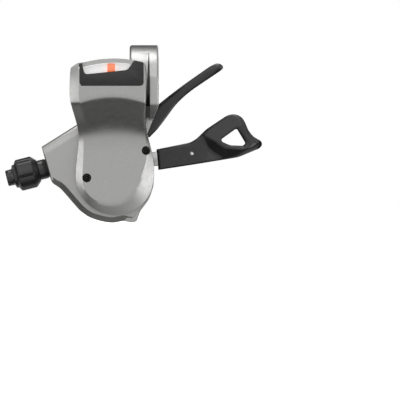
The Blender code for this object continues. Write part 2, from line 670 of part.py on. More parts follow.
def cable_drum():
    """Grooved drum that winds the cable, with a pocket for the cable's end."""
    bore = 3.6 + GAP
    near, far = DRUM
    profile = [(bore, near), (DRUM_RADIUS, near), (DRUM_RADIUS, near + 1.1), (GROOVE_RADIUS, near + 2.4)]
    profile += [(GROOVE_RADIUS, far - 2.4), (DRUM_RADIUS, far - 1.1), (DRUM_RADIUS, far), (bore, far)]
    body = turned(profile, AXLE_ORIGIN, (0, 1, 0), 32, closed=True)
    obj = piece("cable_drum", body, "drum_plastic", AXLE_ORIGIN)
    cut(obj, rod(polar(8.2, 20), 2.1, near + 2.0, far + 2, 14))
    cut(obj, block((-13.2, -10.8), (near - 1, near + 1.4), (-46.2, -43.4)))


def ratchet_outline():
    """Saw teeth round the wheel: a steep face and a slow fall for each tooth."""
    points = []
    step = 360.0 / RATCHET_TEETH
    for i in range(RATCHET_TEETH):
        points.append(polar(RATCHET_RADIUS - 1.3, i * step))
        points.append(polar(RATCHET_RADIUS, (i + 0.08) * step))
        points.append(polar(RATCHET_RADIUS - 0.5, (i + 0.5) * step))
    return points


def ratchet_wheel():
    obj = piece("ratchet_wheel", extruded(ratchet_outline(), *RATCHET), "steel", AXLE_ORIGIN)
    cut(obj, rod(AXLE, 3.6 + GAP, 5, 20, 24))
    for angle in (60, 180, 300):
        cut(obj, rod(polar(5.8, angle), 0.9, 5, 20, 10))


def pawl(name, angle, arm, side):
    """A pawl on its pin, drawn just lifted clear of the ratchet teeth."""
    pivot = Vector(polar(arm, angle))
    nose = Vector(polar(RATCHET_RADIUS + 0.5, angle + side * 34))
    heel = Vector(polar(RATCHET_RADIUS + 1.6, angle + side * 37))
    back = Vector(polar(arm + 0.9, angle + side * 16))
    inner = Vector(polar(RATCHET_RADIUS + 1.0, angle + side * 16))
    outline = [tuple(p) for p in (nose, heel, back)]
    facing = math.degrees(math.atan2(pivot.y - AXLE_Z, pivot.x - AXLE_X))
    outline += arc(tuple(pivot), 1.7, facing + side * 30, facing - side * 180, 8)
    outline += [tuple(inner)]
    body = extruded(outline, RATCHET[0] + 0.1, RATCHET[1] - 0.1)
    obj = piece(name, body, "steel", (pivot.x, 0.0, pivot.y))
    cut(obj, rod(tuple(pivot), PIN_RADIUS + 0.2, 5, 20, 14))
    return obj


def pawls():
    pawl("stop_pawl", STOP_PAWL_ANGLE, STOP_PAWL_ARM, 1)
    pawl("feed_pawl", FEED_PAWL_ANGLE, FEED_PAWL_ARM, 1)
    stop = polar(STOP_PAWL_ARM, STOP_PAWL_ANGLE)
    piece("stop_pawl_pin", rod(stop, PIN_RADIUS, 2.8, 16.0, 12), "steel")
    feed = polar(FEED_PAWL_ARM, FEED_PAWL_ANGLE)
    piece("feed_pawl_pin", rod(feed, PIN_RADIUS, 12.5, 24.4, 12), "steel", AXLE_ORIGIN)


def springs():
    turns = 2.25
    piece("release_return_spring", coil(AXLE, 4.4, 0.35, turns, 15.4, 0.8), "steel")
    piece("lever_return_spring", coil(AXLE, 5.4, 0.3, turns, 24.65, 0.75), "steel")


# ---------------------------------------------------------------- levers


def lever_plate_outline():
    """Main lever's steel plate: hub, tail for the feed pawl, and the arm inside the thumb pad."""
    outline = [(22.0, -25.9), (22.4, -30.7), (3.2, -33.9)]
    outline += arc(AXLE, 6.6, -70, -95, 2)
    outline += arc(polar(FEED_PAWL_ARM, FEED_PAWL_ANGLE), 1.95, 270, 110, 6)
    outline += arc(AXLE, 6.6, 135, 85, 4)
    outline += [(2.0, -28.2)]
    return outline


def main_lever():
    obj = piece("main_lever_plate", extruded(lever_plate_outline(), *MAIN_PLATE), "steel", AXLE_ORIGIN)
    cut(obj, rod(AXLE, AXLE_RADIUS + GAP, 15, 30, 20))
    cut(obj, rod(polar(FEED_PAWL_ARM, FEED_PAWL_ANGLE), PIN_RADIUS + 0.2, 15, 30, 12))
    cut(obj, rod(PAD_PIN, PAD_PIN_RADIUS + 0.2, 15, 30, 12))
    pad = piece("thumb_pad", chamfered(thumb_outline(), *THUMB_PAD, 0.6), "black_plastic", AXLE_ORIGIN)
    cut(pad, extruded(ring_opening(), 15, 30))
    pocket = inset(lever_plate_outline(), -GAP)
    cut(pad, extruded(pocket, MAIN_PLATE[0] - GAP, MAIN_PLATE[1] + GAP))
    cut(pad, rod(PAD_PIN, PAD_PIN_RADIUS + 0.2, 15, 30, 12))
    pin = rod(PAD_PIN, PAD_PIN_RADIUS, THUMB_PAD[0] - 0.1, THUMB_PAD[1] + 0.1, 12)
    piece("thumb_pad_pin", pin, "steel", AXLE_ORIGIN)


def thumb_outline():
    """Thumb pad seen from the front: straight arm, shoulder, ring and rounded tip."""
    outline = [(5.6, -35.2), (28.7, -31.8), (37.5, -30.1), (45.6, -26.7)]
    outline += arc((45.8, -25.0), 1.5, -60, 80, 5)
    outline += [(43.7, -21.7), (41.8, -19.2), (40.6, -16.4), (39.3, -14.2)]
    outline += arc((36.0, -15.6), 3.0, 30, 120, 4)
    outline += [(30.0, -15.6), (25.0, -19.1), (20.6, -23.1), (18.0, -24.5), (4.8, -27.0)]
    return outline


def ring_opening():
    """Three-cornered opening of the thumb pad's ring."""
    outline = arc((36.7, -19.9), 1.0, 30, 130, 3)
    outline += arc((32.2, -23.7), 1.0, 130, 250, 3)
    outline += arc((39.7, -24.7), 1.1, 270, 390, 3)
    return outline


def release_lever():
    """Steel plate on the axle, overmoulded by the long thin grip."""
    plate = arc(AXLE, 6.2, 110, 345, 8)
    plate += [(-1.8, -27.4), (3.8, -18.6), (7.0, -13.8), (4.6, -12.2), (-8.2, -29.6)]
    obj = piece("release_lever_plate", extruded(plate, *RELEASE_PLATE), "steel", AXLE_ORIGIN)
    cut(obj, rod(AXLE, AXLE_RADIUS + GAP, 10, 25, 20))
    outline = [(2.1, -22.2), (6.5, -17.6), (10.6, -12.0), (12.9, -8.9), (15.7, -6.1), (21.1, -1.9)]
    outline += arc((29.7, 5.6), 1.8, -50, 110, 6)
    outline += [(22.7, 3.75), (17.2, -0.1), (9.6, -5.8), (5.9, -8.85), (3.5, -11.5)]
    outline += [(-0.6, -19.0), (-1.0, -21.6)]
    grip = piece("release_grip", chamfered(outline, *RELEASE_GRIP, 0.5), "black_plastic", AXLE_ORIGIN)
    pocket = inset(plate, -GAP)
    cut(grip, extruded(pocket, RELEASE_PLATE[0] - GAP, RELEASE_PLATE[1] + GAP))


# ---------------------------------------------------------------- cable adjuster


def adjuster():
    """Detent collar, hollow screw, grooved barrel and spring on the horn's axis."""
    collar = [(2.6, -4.2), (COLLAR_RADIUS, -4.2), (COLLAR_RADIUS, 2.6), (5.5, 5.1), (5.5, 5.5), (2.6, 5.5)]
    body = turned(collar, HORN_POINT, HORN_AXIS, 24, closed=True)
    piece("detent_collar", body, "black_plastic", HORN_POINT)
    screw = [(CABLE_RADIUS, -14.0), (SCREW_RADIUS, -14.0), (SCREW_RADIUS, 11.4), (CABLE_RADIUS, 11.4)]
    body = turned(screw, HORN_POINT, HORN_AXIS, 16, closed=True)
    piece("adjuster_screw", body, "steel", HORN_POINT)
    adjuster_barrel()
    adjuster_spring()


def adjuster_barrel():
    """Barrel with six grip grooves, a cable seat at its tip and a pocket for the spring."""
    grip = BARREL_RADIUS
    tip = TIP_RADIUS
    barrel = [(4.8, 5.8), (grip - 0.3, 5.8), (grip, 6.4), (grip, 11.2), (5.6, 12.1), (4.5, 12.2)]
    barrel += [(4.5, 13.4), (tip, 13.6), (tip, 16.5), (2.1, 16.5), (2.1, 13.2)]
    barrel += [(1.2, 13.0), (1.2, 11.9), (2.6, 11.7), (2.6, 9.6), (4.8, 9.6)]
    body = turned(barrel, HORN_POINT, HORN_AXIS, 24, closed=True)
    obj = piece("adjuster_barrel", body, "black_plastic", HORN_POINT)
    across = Vector((0.0, 1.0, 0.0))
    other = HORN_AXIS.cross(across)
    for i in range(6):
        turn = math.radians(60 * i + 30)
        foot = HORN_POINT + (math.cos(turn) * across + math.sin(turn) * other) * (BARREL_RADIUS + 0.55)
        cut(obj, turned([(0, 4), (1.1, 4), (1.1, 11.8), (0, 13.0)], foot, HORN_AXIS, 8))


def adjuster_spring():
    """Small coil inside the barrel that presses the collar into its detents."""
    obj = piece("adjuster_spring", coil((0.0, 0.0), 3.7, 0.35, 3.25, 0.0, 0.88), "steel")
    obj.location = (HORN_POINT + HORN_AXIS * 6.15) * MM
    obj.rotation_mode = "QUATERNION"
    obj.rotation_quaternion = Vector((0.0, 1.0, 0.0)).rotation_difference(HORN_AXIS)


def build():
    clear_scene()
    clamp_bracket()
    clamp_screws()
    base_housing()
    cable_port_cap()
    rear_cover()
    rear_screws()
    frame_plate()
    front_cover()
    cover_screws()
    display()
    indicator_needle()
    axle_parts()
    cable_drum()
    ratchet_wheel()
    pawls()
    springs()
    main_lever()
    release_lever()
    adjuster()


build()
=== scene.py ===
"""Looks of the trigger shifter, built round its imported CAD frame.

Lengths are millimetres in the frame's own axes, turned into metres when a mesh is written.
"""

import json
import math

import bmesh
import bpy
import numpy as np
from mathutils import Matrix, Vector

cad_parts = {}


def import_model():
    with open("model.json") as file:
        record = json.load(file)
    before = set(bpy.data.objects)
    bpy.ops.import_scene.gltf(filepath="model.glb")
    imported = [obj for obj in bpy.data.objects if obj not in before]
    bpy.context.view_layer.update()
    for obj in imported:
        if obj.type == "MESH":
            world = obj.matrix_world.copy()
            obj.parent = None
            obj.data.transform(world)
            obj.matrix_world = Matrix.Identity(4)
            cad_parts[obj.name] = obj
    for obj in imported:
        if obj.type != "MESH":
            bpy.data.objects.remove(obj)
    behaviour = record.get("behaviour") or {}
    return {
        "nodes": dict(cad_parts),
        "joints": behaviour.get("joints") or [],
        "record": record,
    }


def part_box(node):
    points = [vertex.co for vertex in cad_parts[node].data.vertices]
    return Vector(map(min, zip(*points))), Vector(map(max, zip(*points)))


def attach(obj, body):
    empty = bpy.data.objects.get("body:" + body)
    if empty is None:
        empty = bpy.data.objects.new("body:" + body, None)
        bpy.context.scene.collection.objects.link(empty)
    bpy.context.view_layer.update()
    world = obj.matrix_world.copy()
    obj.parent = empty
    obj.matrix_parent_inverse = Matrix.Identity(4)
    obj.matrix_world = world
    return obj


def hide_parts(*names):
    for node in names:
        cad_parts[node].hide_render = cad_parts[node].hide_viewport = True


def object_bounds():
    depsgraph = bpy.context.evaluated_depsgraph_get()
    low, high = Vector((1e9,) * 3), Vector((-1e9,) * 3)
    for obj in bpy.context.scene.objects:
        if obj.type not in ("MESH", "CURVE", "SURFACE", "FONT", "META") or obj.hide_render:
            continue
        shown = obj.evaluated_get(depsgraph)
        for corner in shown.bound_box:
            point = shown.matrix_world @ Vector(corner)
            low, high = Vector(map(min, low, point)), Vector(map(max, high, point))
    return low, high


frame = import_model()
cad_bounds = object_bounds()

MM = 0.001
SMOOTH_ANGLE = 32.0  # sharper edges than this stay crisp


# ---- facts from the frame


def corners(node):
    """Lowest and highest corner of a CAD node, in millimetres."""
    low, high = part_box(node)
    return low / MM, high / MM


def joint(name):
    return next(j for j in frame["joints"] if j["name"] == name)


COVER_LOW, COVER_HIGH = corners("front_cover")
HOUSING_LOW, HOUSING_HIGH = corners("base_housing")
CLAMP_LOW, CLAMP_HIGH = corners("clamp_bracket")
AXLE_X, _, AXLE_Z = (value / MM for value in joint("main_lever_swing")["pos_m"])
AXLE = (AXLE_X, AXLE_Z)
HORN_POINT = Vector(joint("adjuster_turn")["pos_m"]) / MM
HORN_AXIS = Vector(joint("adjuster_turn")["axis"])
SLOT_OF = {part["node"]: part["material_slot"] for part in frame["record"]["subparts"]}
COVER_SCREWS = ("cover_screw_left", "cover_screw_right")
BRACKET_SCREWS = ("bracket_screw_front", "bracket_screw_back")
REAR_SCREWS = ("rear_screw_horn", "rear_screw_lower")
BODIES = frame["record"]["behaviour"]["bodies"]
BODY_OF = {node: body for body, nodes in BODIES.items() for node in nodes}


# ---- materials


def set_inputs(node, **values):
    for socket, value in values.items():
        node.inputs[socket.replace("_", " ")].default_value = value
    return node


def fill_ramp(node, stops):
    """Set a colour ramp to (position, grey value or colour) stops."""
    elements = node.color_ramp.elements
    while len(elements) < len(stops):
        elements.new(0.5)
    for element, (position, value) in zip(elements, stops):
        colour = value if isinstance(value, tuple) else (value, value, value)
        element.position = position
        element.color = (*colour, 1.0)


MATERIALS = {}


class Recipe:
    """A Principled material whose colour, roughness and bump come from nodes."""

    def __init__(self, name, roughness, metallic=0.0, **constants):
        material = bpy.data.materials.new(name)
        material.use_nodes = True
        MATERIALS[name] = material
        self.tree = material.node_tree
        self.shader = self.tree.nodes["Principled BSDF"]
        set_inputs(self.shader, Roughness=roughness, Metallic=metallic, **constants)
        self.place = self.node("TexCoord").outputs["Object"]

    def node(self, kind, **values):
        return set_inputs(self.tree.nodes.new(f"ShaderNode{kind}"), **values)

    def link(self, source, target):
        self.tree.links.new(source, target)

    def noise(self, size, detail=2.0, stretch=(1.0, 1.0, 1.0)):
        """Noise whose features are about the given size, in millimetres."""
        mapping = self.node("Mapping", Scale=stretch)
        noise = self.node("TexNoise", Scale=1.0 / (size * MM), Detail=detail)
        self.link(self.place, mapping.inputs["Vector"])
        self.link(mapping.outputs["Vector"], noise.inputs["Vector"])
        return noise.outputs["Fac"]

    def cells(self, size):
        voronoi = self.node("TexVoronoi", Scale=1.0 / (size * MM))
        self.link(self.place, voronoi.inputs["Vector"])
        return voronoi.outputs["Distance"]

    def ramp(self, source, low, high, start=0.3, end=0.7):
        """A grey value or a colour that goes from low to high as the source does."""
        node = self.node("ValToRGB")
        fill_ramp(node, [(start, low), (end, high)])
        self.link(source, node.inputs["Fac"])
        return node.outputs["Color"]

    def mottled(self, size, detail, low, high):
        return self.ramp(self.noise(size, detail), low, high)

    def edge_wear_and_sheen(self, body, edge, reach=0.25):
        """The body colour, turned to the edge colour along convex edges: rubbed wear on the silver
        paint, a painted sheen on the black plastic.
        """
        shape = self.node("NewGeometry").outputs["Pointiness"]
        mix = self.node("Mix")
        mix.data_type = "RGBA"
        self.link(self.ramp(shape, 0.0, reach, 0.53, 0.62), mix.inputs["Factor"])
        self.link(body, mix.inputs[6])
        self.link(self.mottled(0.6, 2.0, edge, edge), mix.inputs[7])
        return mix.outputs[2]

    def finish(self, colour, roughness, *bumps):
        """Link all up; the bumps are (height source, depth in millimetres, strength)."""
        self.link(colour, self.shader.inputs["Base Color"])
        self.link(roughness, self.shader.inputs["Roughness"])
        normal = None
        for source, depth, strength in bumps:
            bump = self.node("Bump", Distance=depth * MM, Strength=strength)
            self.link(source, bump.inputs["Height"])
            if normal:
                self.link(normal, bump.inputs["Normal"])
            normal = bump.outputs["Normal"]
        if normal:
            self.link(normal, self.shader.inputs["Normal"])


def silver_paint():
    """Satin metallic paint: fine flake, faint orange peel, a little wear on the edges."""
    recipe = Recipe("silver_paint", 0.34, 0.96, Coat_Weight=0.12, Coat_Roughness=0.22)
    dark, light, bare = ((value, value * 0.995, value * 0.975) for value in (0.335, 0.425, 0.50))
    flake = recipe.ramp(recipe.noise(0.16, 1.0), dark, light, 0.32, 0.68)
    recipe.finish(
        recipe.edge_wear_and_sheen(flake, bare),
        recipe.mottled(1.7, 3.0, 0.30, 0.38),
        (recipe.noise(2.6), 0.02, 0.25),
        (recipe.noise(0.14, 1.0), 0.006, 0.35),
    )


def black_plastic():
    """Glass-filled nylon: fine moulded grain, with a painted sheen: a lighter colour along convex
    edges.
    """
    coat = {"Specular_IOR_Level": 0.25, "Coat_Weight": 0.7, "Coat_Roughness": 0.14}
    recipe = Recipe("black_plastic", 0.4, **coat)
    recipe.finish(
        # painted sheen: the convex edges get a lighter colour than the body
        recipe.edge_wear_and_sheen(recipe.mottled(2.4, 3.0, 0.006, 0.011), 0.025),
        recipe.mottled(1.3, 3.0, 0.34, 0.47),
        (recipe.noise(3.0), 0.03, 0.2),
        (recipe.cells(0.22), 0.01, 0.3),
    )


def moulding(name, shine, colour, roughness, bump=None, cells=False, **constants):
    """Plain plastic; colour and roughness are mottled, the bump is (size, depth, strength)."""
    recipe = Recipe(name, shine, **constants)
    bumps = []
    if bump:
        texture = recipe.cells if cells else recipe.noise
        bumps.append((texture(bump[0]), *bump[1:]))
    recipe.finish(recipe.mottled(*colour), recipe.mottled(*roughness), *bumps)


def glowing(colour, strength):
    return {"Emission_Color": (*colour, 1.0), "Emission_Strength": strength}


def bare_metal(name, low, high, roughness):
    """Machined metal with fine lines round the Y axis."""
    recipe = Recipe(name, roughness, 1.0)
    lines = recipe.noise(0.5, 3.0, (1.0, 9.0, 1.0))
    recipe.finish(
        recipe.mottled(1.5, 3.0, low, high),
        recipe.ramp(lines, roughness - 0.08, roughness + 0.1),
        (lines, 0.008, 0.3),
    )


COAT = {"Specular_IOR_Level": 0.3, "Coat_Weight": 0.2, "Coat_Roughness": 0.08}
# painted light: the white scale glows so it stays bright in its shaded recess behind the lens
SCALE_PAINTED_LIGHT = glowing((1.0, 1.0, 1.0), 0.42)
# painted light: the orange needle glows to make up for the shade it sits in behind the lens
NEEDLE_PAINTED_LIGHT = glowing((1.0, 0.22, 0.05), 0.35)
ORANGES = (1, 2, (0.95, 0.14, 0.02), (1, 0.19, 0.03))

silver_paint()
black_plastic()
moulding("display_black", 0.16, (3, 2, 0.008, 0.014), (1.1, 3, 0.13, 0.21), (4, 0.02, 0.15), **COAT)
moulding("clear_lens", 0.06, (3, 2, 0.86, 0.92), (2, 2, 0.04, 0.1), Alpha=0.07, IOR=1.45)
moulding("white_scale", 0.5, (2, 2, 0.78, 0.86), (0.8, 2, 0.42, 0.55), (0.3, 0.01, 0.2), **SCALE_PAINTED_LIGHT)
moulding("orange_needle", 0.4, ORANGES, (0.8, 2, 0.34, 0.46), (0.4, 0.01, 0.2), **NEEDLE_PAINTED_LIGHT)
moulding("drum_plastic", 0.5, (2, 2, 0.09, 0.13), (1, 2, 0.45, 0.58), (0.3, 0.01, 0.3), cells=True)
bare_metal("steel", 0.50, 0.62, 0.3)
bare_metal("black_steel", 0.012, 0.03, 0.38)
bare_metal("bronze", (0.50, 0.32, 0.14), (0.60, 0.40, 0.19), 0.35)


# ---- mesh helpers


def added(name, data):
    obj = bpy.data.objects.new(name, data)
    bpy.context.scene.collection.objects.link(obj)
    return obj


def write(name, bm, slot):
    """A bmesh in millimetres as a new object in metres, with a slot's material."""
    bmesh.ops.recalc_face_normals(bm, faces=bm.faces)
    bmesh.ops.scale(bm, vec=(MM, MM, MM), verts=bm.verts)
    mesh = bpy.data.meshes.new(name)
    bm.to_mesh(mesh)
    bm.free()
    if slot:
        mesh.materials.append(MATERIALS[slot])
    return added(name, mesh)


def apply_modifiers(obj):
    """Replace the mesh by what its modifiers make of it."""
    graph = bpy.context.evaluated_depsgraph_get()
    made = bpy.data.meshes.new_from_object(obj.evaluated_get(graph))
    obj.modifiers.clear()
    obj.data = made


def shade(obj, angle=SMOOTH_ANGLE):
    obj.data.shade_smooth()
    obj.data.set_sharp_from_angle(angle=math.radians(angle))


def finish_piece(obj, node, angle=SMOOTH_ANGLE):
    """Apply the modifiers, shade, and let the piece stand for its CAD node on that node's body."""
    apply_modifiers(obj)
    shade(obj, angle)
    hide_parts(node)
    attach(obj, BODY_OF[node])


def modifier(obj, kind, **settings):
    made = obj.modifiers.new(kind.title(), kind)
    for key, value in settings.items():
        setattr(made, key, value)
    return made


def bevel(obj, width, segments=3, angle=30.0):
    limit = {"limit_method": "ANGLE", "angle_limit": math.radians(angle), "use_clamp_overlap": True}
    modifier(obj, "BEVEL", width=width * MM, segments=segments, miter_outer="MITER_ARC", **limit)


def boolean(obj, operation, *shapes):
    """Cut or join closed bmeshes, at once."""
    for bm in shapes:
        tool = write("tool", bm, None)
        modifier(obj, "BOOLEAN", operation=operation, solver="MANIFOLD", object=tool)
        apply_modifiers(obj)
        bpy.data.objects.remove(tool, do_unlink=True)
    return obj


def cut(obj, *shapes):
    return boolean(obj, "DIFFERENCE", *shapes)


def join(obj, *shapes):
    return boolean(obj, "UNION", *shapes)


def arc(centre, radius, start, end, steps):
    angles = [math.radians(start + (end - start) * i / steps) for i in range(steps + 1)]
    return [(centre[0] + radius * math.cos(a), centre[1] + radius * math.sin(a)) for a in angles]


def placed(a, b, level, along):
    return {"X": (level, a, b), "Y": (a, level, b), "Z": (a, b, level)}[along]


def bridge(bm, first, second):
    """Faces between two rings of vertices; a ring of one is a pole."""
    count = max(len(first), len(second))
    for i in range(count):
        j = (i + 1) % count
        ring = [
            first[i % len(first)], first[j % len(first)], second[j % len(second)],
            second[i % len(second)],
        ]
        bm.faces.new(list(dict.fromkeys(ring)))


def lofted(rings, closed=False):
    """A solid through rings of points, with flat ends unless closed on itself."""
    bm = bmesh.new()
    made = [[bm.verts.new(point) for point in ring] for ring in rings]
    for first, second in zip(made, made[1:]):
        bridge(bm, first, second)
    if closed:
        bridge(bm, made[-1], made[0])
        return bm
    for ring in (made[0], made[-1]):
        if len(ring) > 2:
            bm.faces.new(ring)
    return bm


def extruded(outline, near, far, along="Y"):
    return lofted([[placed(a, b, level, along) for a, b in outline] for level in (near, far)])


def rounded_bar(outline, near, far, near_radius, far_radius, along="Y", steps=5):
    """An extruded outline with rounded edges round its ends; a radius of 0 leaves one sharp."""

    def stations(end, radius, inwards):
        if radius == 0.0:
            return [(end, 0.0)]
        turns = [math.radians(90.0 * i / steps) for i in range(steps + 1)]
        reach = inwards * radius
        return [(end + reach * (1 - math.sin(t)), radius * (1 - math.cos(t))) for t in turns]

    rings = stations(near, near_radius, 1.0)[::-1] + stations(far, far_radius, -1.0)
    rings = [(level, inset(outline, drop)) for level, drop in rings]
    return lofted([[placed(a, b, level, along) for a, b in ring] for level, ring in rings])


def block(x, y, z):
    return extruded([(x[0], z[0]), (x[1], z[0]), (x[1], z[1]), (x[0], z[1])], y[0], y[1])


def outline_edges(outline):
    """The outline's points, and for the edge after each its way and its inward normal."""
    points = [Vector(p) for p in outline]
    after = points[1:] + points[:1]
    turn = 1.0 if sum(a.cross(b) for a, b in zip(points, after)) > 0 else -1.0
    ways = [(b - a).normalized() for a, b in zip(points, after)]
    return points, ways, [Vector((-way.y, way.x)) * turn for way in ways]


def inset(outline, distance):
    """The outline moved inwards."""
    points, _, normals = outline_edges(outline)
    moved = []
    for i, point in enumerate(points):
        middle = (normals[i - 1] + normals[i]).normalized()
        moved.append(tuple(point + middle * (distance / max(middle.dot(normals[i - 1]), 0.5))))
    return moved


def offset_edges(outline, distances):
    """The outline with each edge moved inwards by its own distance; edge i starts at point i."""
    points, ways, normals = outline_edges(outline)
    moved = []
    for i, point in enumerate(points):
        first, second = ways[i - 1], ways[i]
        near, far = distances[i - 1], distances[i]
        bend = first.cross(second)
        if abs(bend) < 0.2:  # nearly straight on
            middle = (normals[i - 1] + normals[i]).normalized()
            moved.append(tuple(point + middle * (near + far) / 2))
            continue
        start = point + normals[i - 1] * near
        reach = (point + normals[i] * far - start).cross(second) / bend
        moved.append(tuple(start + first * reach))
    return moved


def across_axis(axis):
    """Two directions square to a unit axis and to each other."""
    across = Vector((0.0, 1.0, 0.0)) if abs(axis.y) < 0.9 else Vector((1.0, 0.0, 0.0))
    across = (across - axis * across.dot(axis)).normalized()
    return across, axis.cross(across)


def turned(profile, base, direction, sides=64, closed=False):
    """Revolve (radius, height) points about an axis."""
    axis = Vector(direction).normalized()
    across, other = across_axis(axis)
    angles = [2.0 * math.pi * i / sides for i in range(sides)]
    rings = []
    for radius, height in profile:
        centre = Vector(base) + axis * height
        ring = [centre + radius * (math.cos(a) * across + math.sin(a) * other) for a in angles]
        rings.append(ring if radius else [centre])
    return lofted(rings, closed)


def turned_at(centre, profile, sides, closed=False):
    """Revolve (radius, Y) points about a line along Y through a centre given as (X, Z)."""
    return turned(profile, (centre[0], 0.0, centre[1]), (0, 1, 0), sides, closed)


def straight(radius, near, far):
    """Profile of a plain cylinder."""
    return [(0.0, near), (radius, near), (radius, far), (0.0, far)]


def rod(centre, radius, near, far, sides=64):
    return turned_at(centre, straight(radius, near, far), sides)


def rounded(profile, radius, steps=4, keep=()):
    """An open outline with its inner corners rounded; corners named in keep stay sharp."""
    points = [Vector(p) for p in profile]
    made = [tuple(points[0])]
    for i in range(1, len(points) - 1):
        before, here, after = points[i - 1], points[i], points[i + 1]
        reach = min(radius, (before - here).length * 0.48, (after - here).length * 0.48)
        if i in keep or reach < 1e-4:
            made.append(tuple(here))
            continue
        start = here + (before - here).normalized() * reach
        end = here + (after - here).normalized() * reach
        for step in range(steps + 1):
            t = step / steps
            made.append(tuple(start * (1 - t) ** 2 + here * 2 * t * (1 - t) + end * t * t))
    made.append(tuple(points[-1]))
    return made


def curve_through(points, steps=6):
    """A smooth open curve through points, by Catmull-Rom."""
    knots = [Vector(p) for p in points]
    knots = [knots[0] * 2 - knots[1]] + knots + [knots[-1] * 2 - knots[-2]]
    made = []
    for i in range(1, len(knots) - 2):
        a, b, c, d = knots[i - 1 : i + 3]
        bend, twist = 2 * a - 5 * b + 4 * c - d, 3 * b - a - 3 * c + d
        for step in range(steps):
            t = step / steps
            made.append(tuple(0.5 * (2 * b + (c - a) * t + bend * t**2 + twist * t**3)))
    made.append(tuple(knots[-2]))
    return made


# ---- front cover

HEAD_FRONT = COVER_LOW.y
COVER_LEFT = COVER_LOW.x
COVER_FOOT = COVER_LOW.z
LOBE_FRONT = HEAD_FRONT + 12.5
HEAD_TOP_RADIUS = COVER_HIGH.z - AXLE_Z  # the head's top is an arc about the main axle
LOBE_RADIUS = 15.9
LOBE_CENTRE = (AXLE_X + 0.4, COVER_FOOT + LOBE_RADIUS)
FLAT_CENTRE = (AXLE_X - 1.9, AXLE_Z + 0.5)
FLAT_RADIUS = 11.6
COVER_WALL = 1.4
COUNTERBORE = 1.8
COLUMNS = 12
FLAT_TOP = 5.6  # height of the flat area's upper left corner

# Outlines of the cover as (height, x) from the foot of the lobe to the top of the head
OUTER_LEFT = [
    (-44.1, -26.1), (-40, -27.3), (-36, -27.35), (-30, -26.8), (-24, -26.1), (-20, -26.3),
    (-17, -26.9), (-12.5, -28.2), (-8.5, -29.3), (5.6, COVER_LEFT),
]
OUTER_RIGHT = [
    (-44.1, 2.8), (-39.6, 3.8), (-35.5, 4.1), (-29.4, 3.4), (-24.3, 2.2), (-21.8, 1.5),
    (-17.5, 0.8), (-14.6, 0.5), (-8.5, 0.8), (7.1, 1),
]
FLAT_LEFT = [
    (-42.4, -24.1), (-38, -24.7), (-32, -24.3), (-24, -24.1), (-18, -23.4), (-15, -23.6),
    (-12, -24.6), (-8.5, -25.6), (5.6, -25.6),
]
FLAT_RIGHT = [
    (-42.4, -3.1), (-39.4, -1.8), (-35, -0.2), (-29.9, 1.2), (-25, 0.9), (-18, 0),
    (-14.6, -0.3), (-8.5, 0.3), (7.1, 0.6),
]
# By height: how far the bevel's foot lies behind the flat area, and the level of the rim
RIGHT_DROP = [(-44.1, 3.9), (-36, 3.6), (-30, 2), (-20, 1.3), (-8.5, 0.5), (5.6, 0.5)]
RIGHT_RIM = [
    (-25.5, -0.3), (-22.2, -4.6), (-17, -4.6), (-14.2, -6.4), (-11.9, -10.2), (-10, -12.1),
    (-8.5, -13.2), (-3, -15.3), (5.6, -15.3),
]
LEFT_RIM = [(-17, -0.3), (5.6, -12)]
LEFT_DROP = [
    (-42.4, 2.3), (-36, 2), (-28, 1.6), (-23, 1.1), (-14, 1.5), (-8.5, 2), (0, 2.5),
    (2, 1.9), (4, 1), (5.6, 0.8),
]
# The bevel's foot below the lobe, by share of the way from right to left
BOTTOM_DROP = [(0, 3.9), (0.33, 2.3), (0.67, 1.9), (1, 2.3)]


def smooth_at(height, points):
    """A curve's value at a height, eased between the few points that shape it."""
    heights, values = np.array(points, dtype=float).T
    slopes = np.gradient(values, heights)
    i = int(np.clip(np.searchsorted(heights, height) - 1, 0, len(points) - 2))
    span = heights[i + 1] - heights[i]
    t = float(np.clip((height - heights[i]) / span, 0.0, 1.0))
    return float(
        (2 * t**3 - 3 * t**2 + 1) * values[i]
        + (t**3 - 2 * t**2 + t) * span * slopes[i]
        + (3 * t**2 - 2 * t**3) * values[i + 1]
        + (t**3 - t**2) * span * slopes[i + 1]
    )


def straight_at(place, points):
    return float(np.interp(place, *zip(*points)))


def head_top(x, radius):
    return AXLE_Z + math.sqrt(radius**2 - (x - AXLE_X) ** 2)


def head_arc(right, left, radius, steps=20):
    span = [right + (left - right) * i / steps for i in range(steps + 1)]
    return [(x, head_top(x, radius)) for x in span]


# The slope under the head, from its lower edge to the lobe, as (height, level behind the head)
SLOPE = [
    (-8.5, 0), (-9.6, 0.9), (-12.6, 3.9), (-15.6, 6.9), (-18.2, 9.2), (-20.6, 10.9),
    (-23, 12), (-25.6, 12.5),
]
SLOPE_ARCH = 2.4  # its middle stands this much higher


def cover_rows():
    """Rows from the top of the head down: height, level, arch and end weight."""
    head = [(FLAT_TOP, 0, 1), (2, 0.2, 0.5), (-3, 0.9, 0.1), (-6.6, 1.8, 0)]
    rows = [(height, HEAD_FRONT, arch, weight) for height, arch, weight in head]
    for i, (height, behind) in enumerate(SLOPE):
        rows.append((height, HEAD_FRONT + behind, SLOPE_ARCH * (1.0 - i / len(SLOPE)), 0.0))
    lobe = [(-29, 0), (-32.5, 0.04), (-35.6, 0.14), (-38.8, 0.42), (-40.9, 0.7), (-42.4, 1)]
    return rows + [(height, LOBE_FRONT, 0.0, weight) for height, weight in lobe]


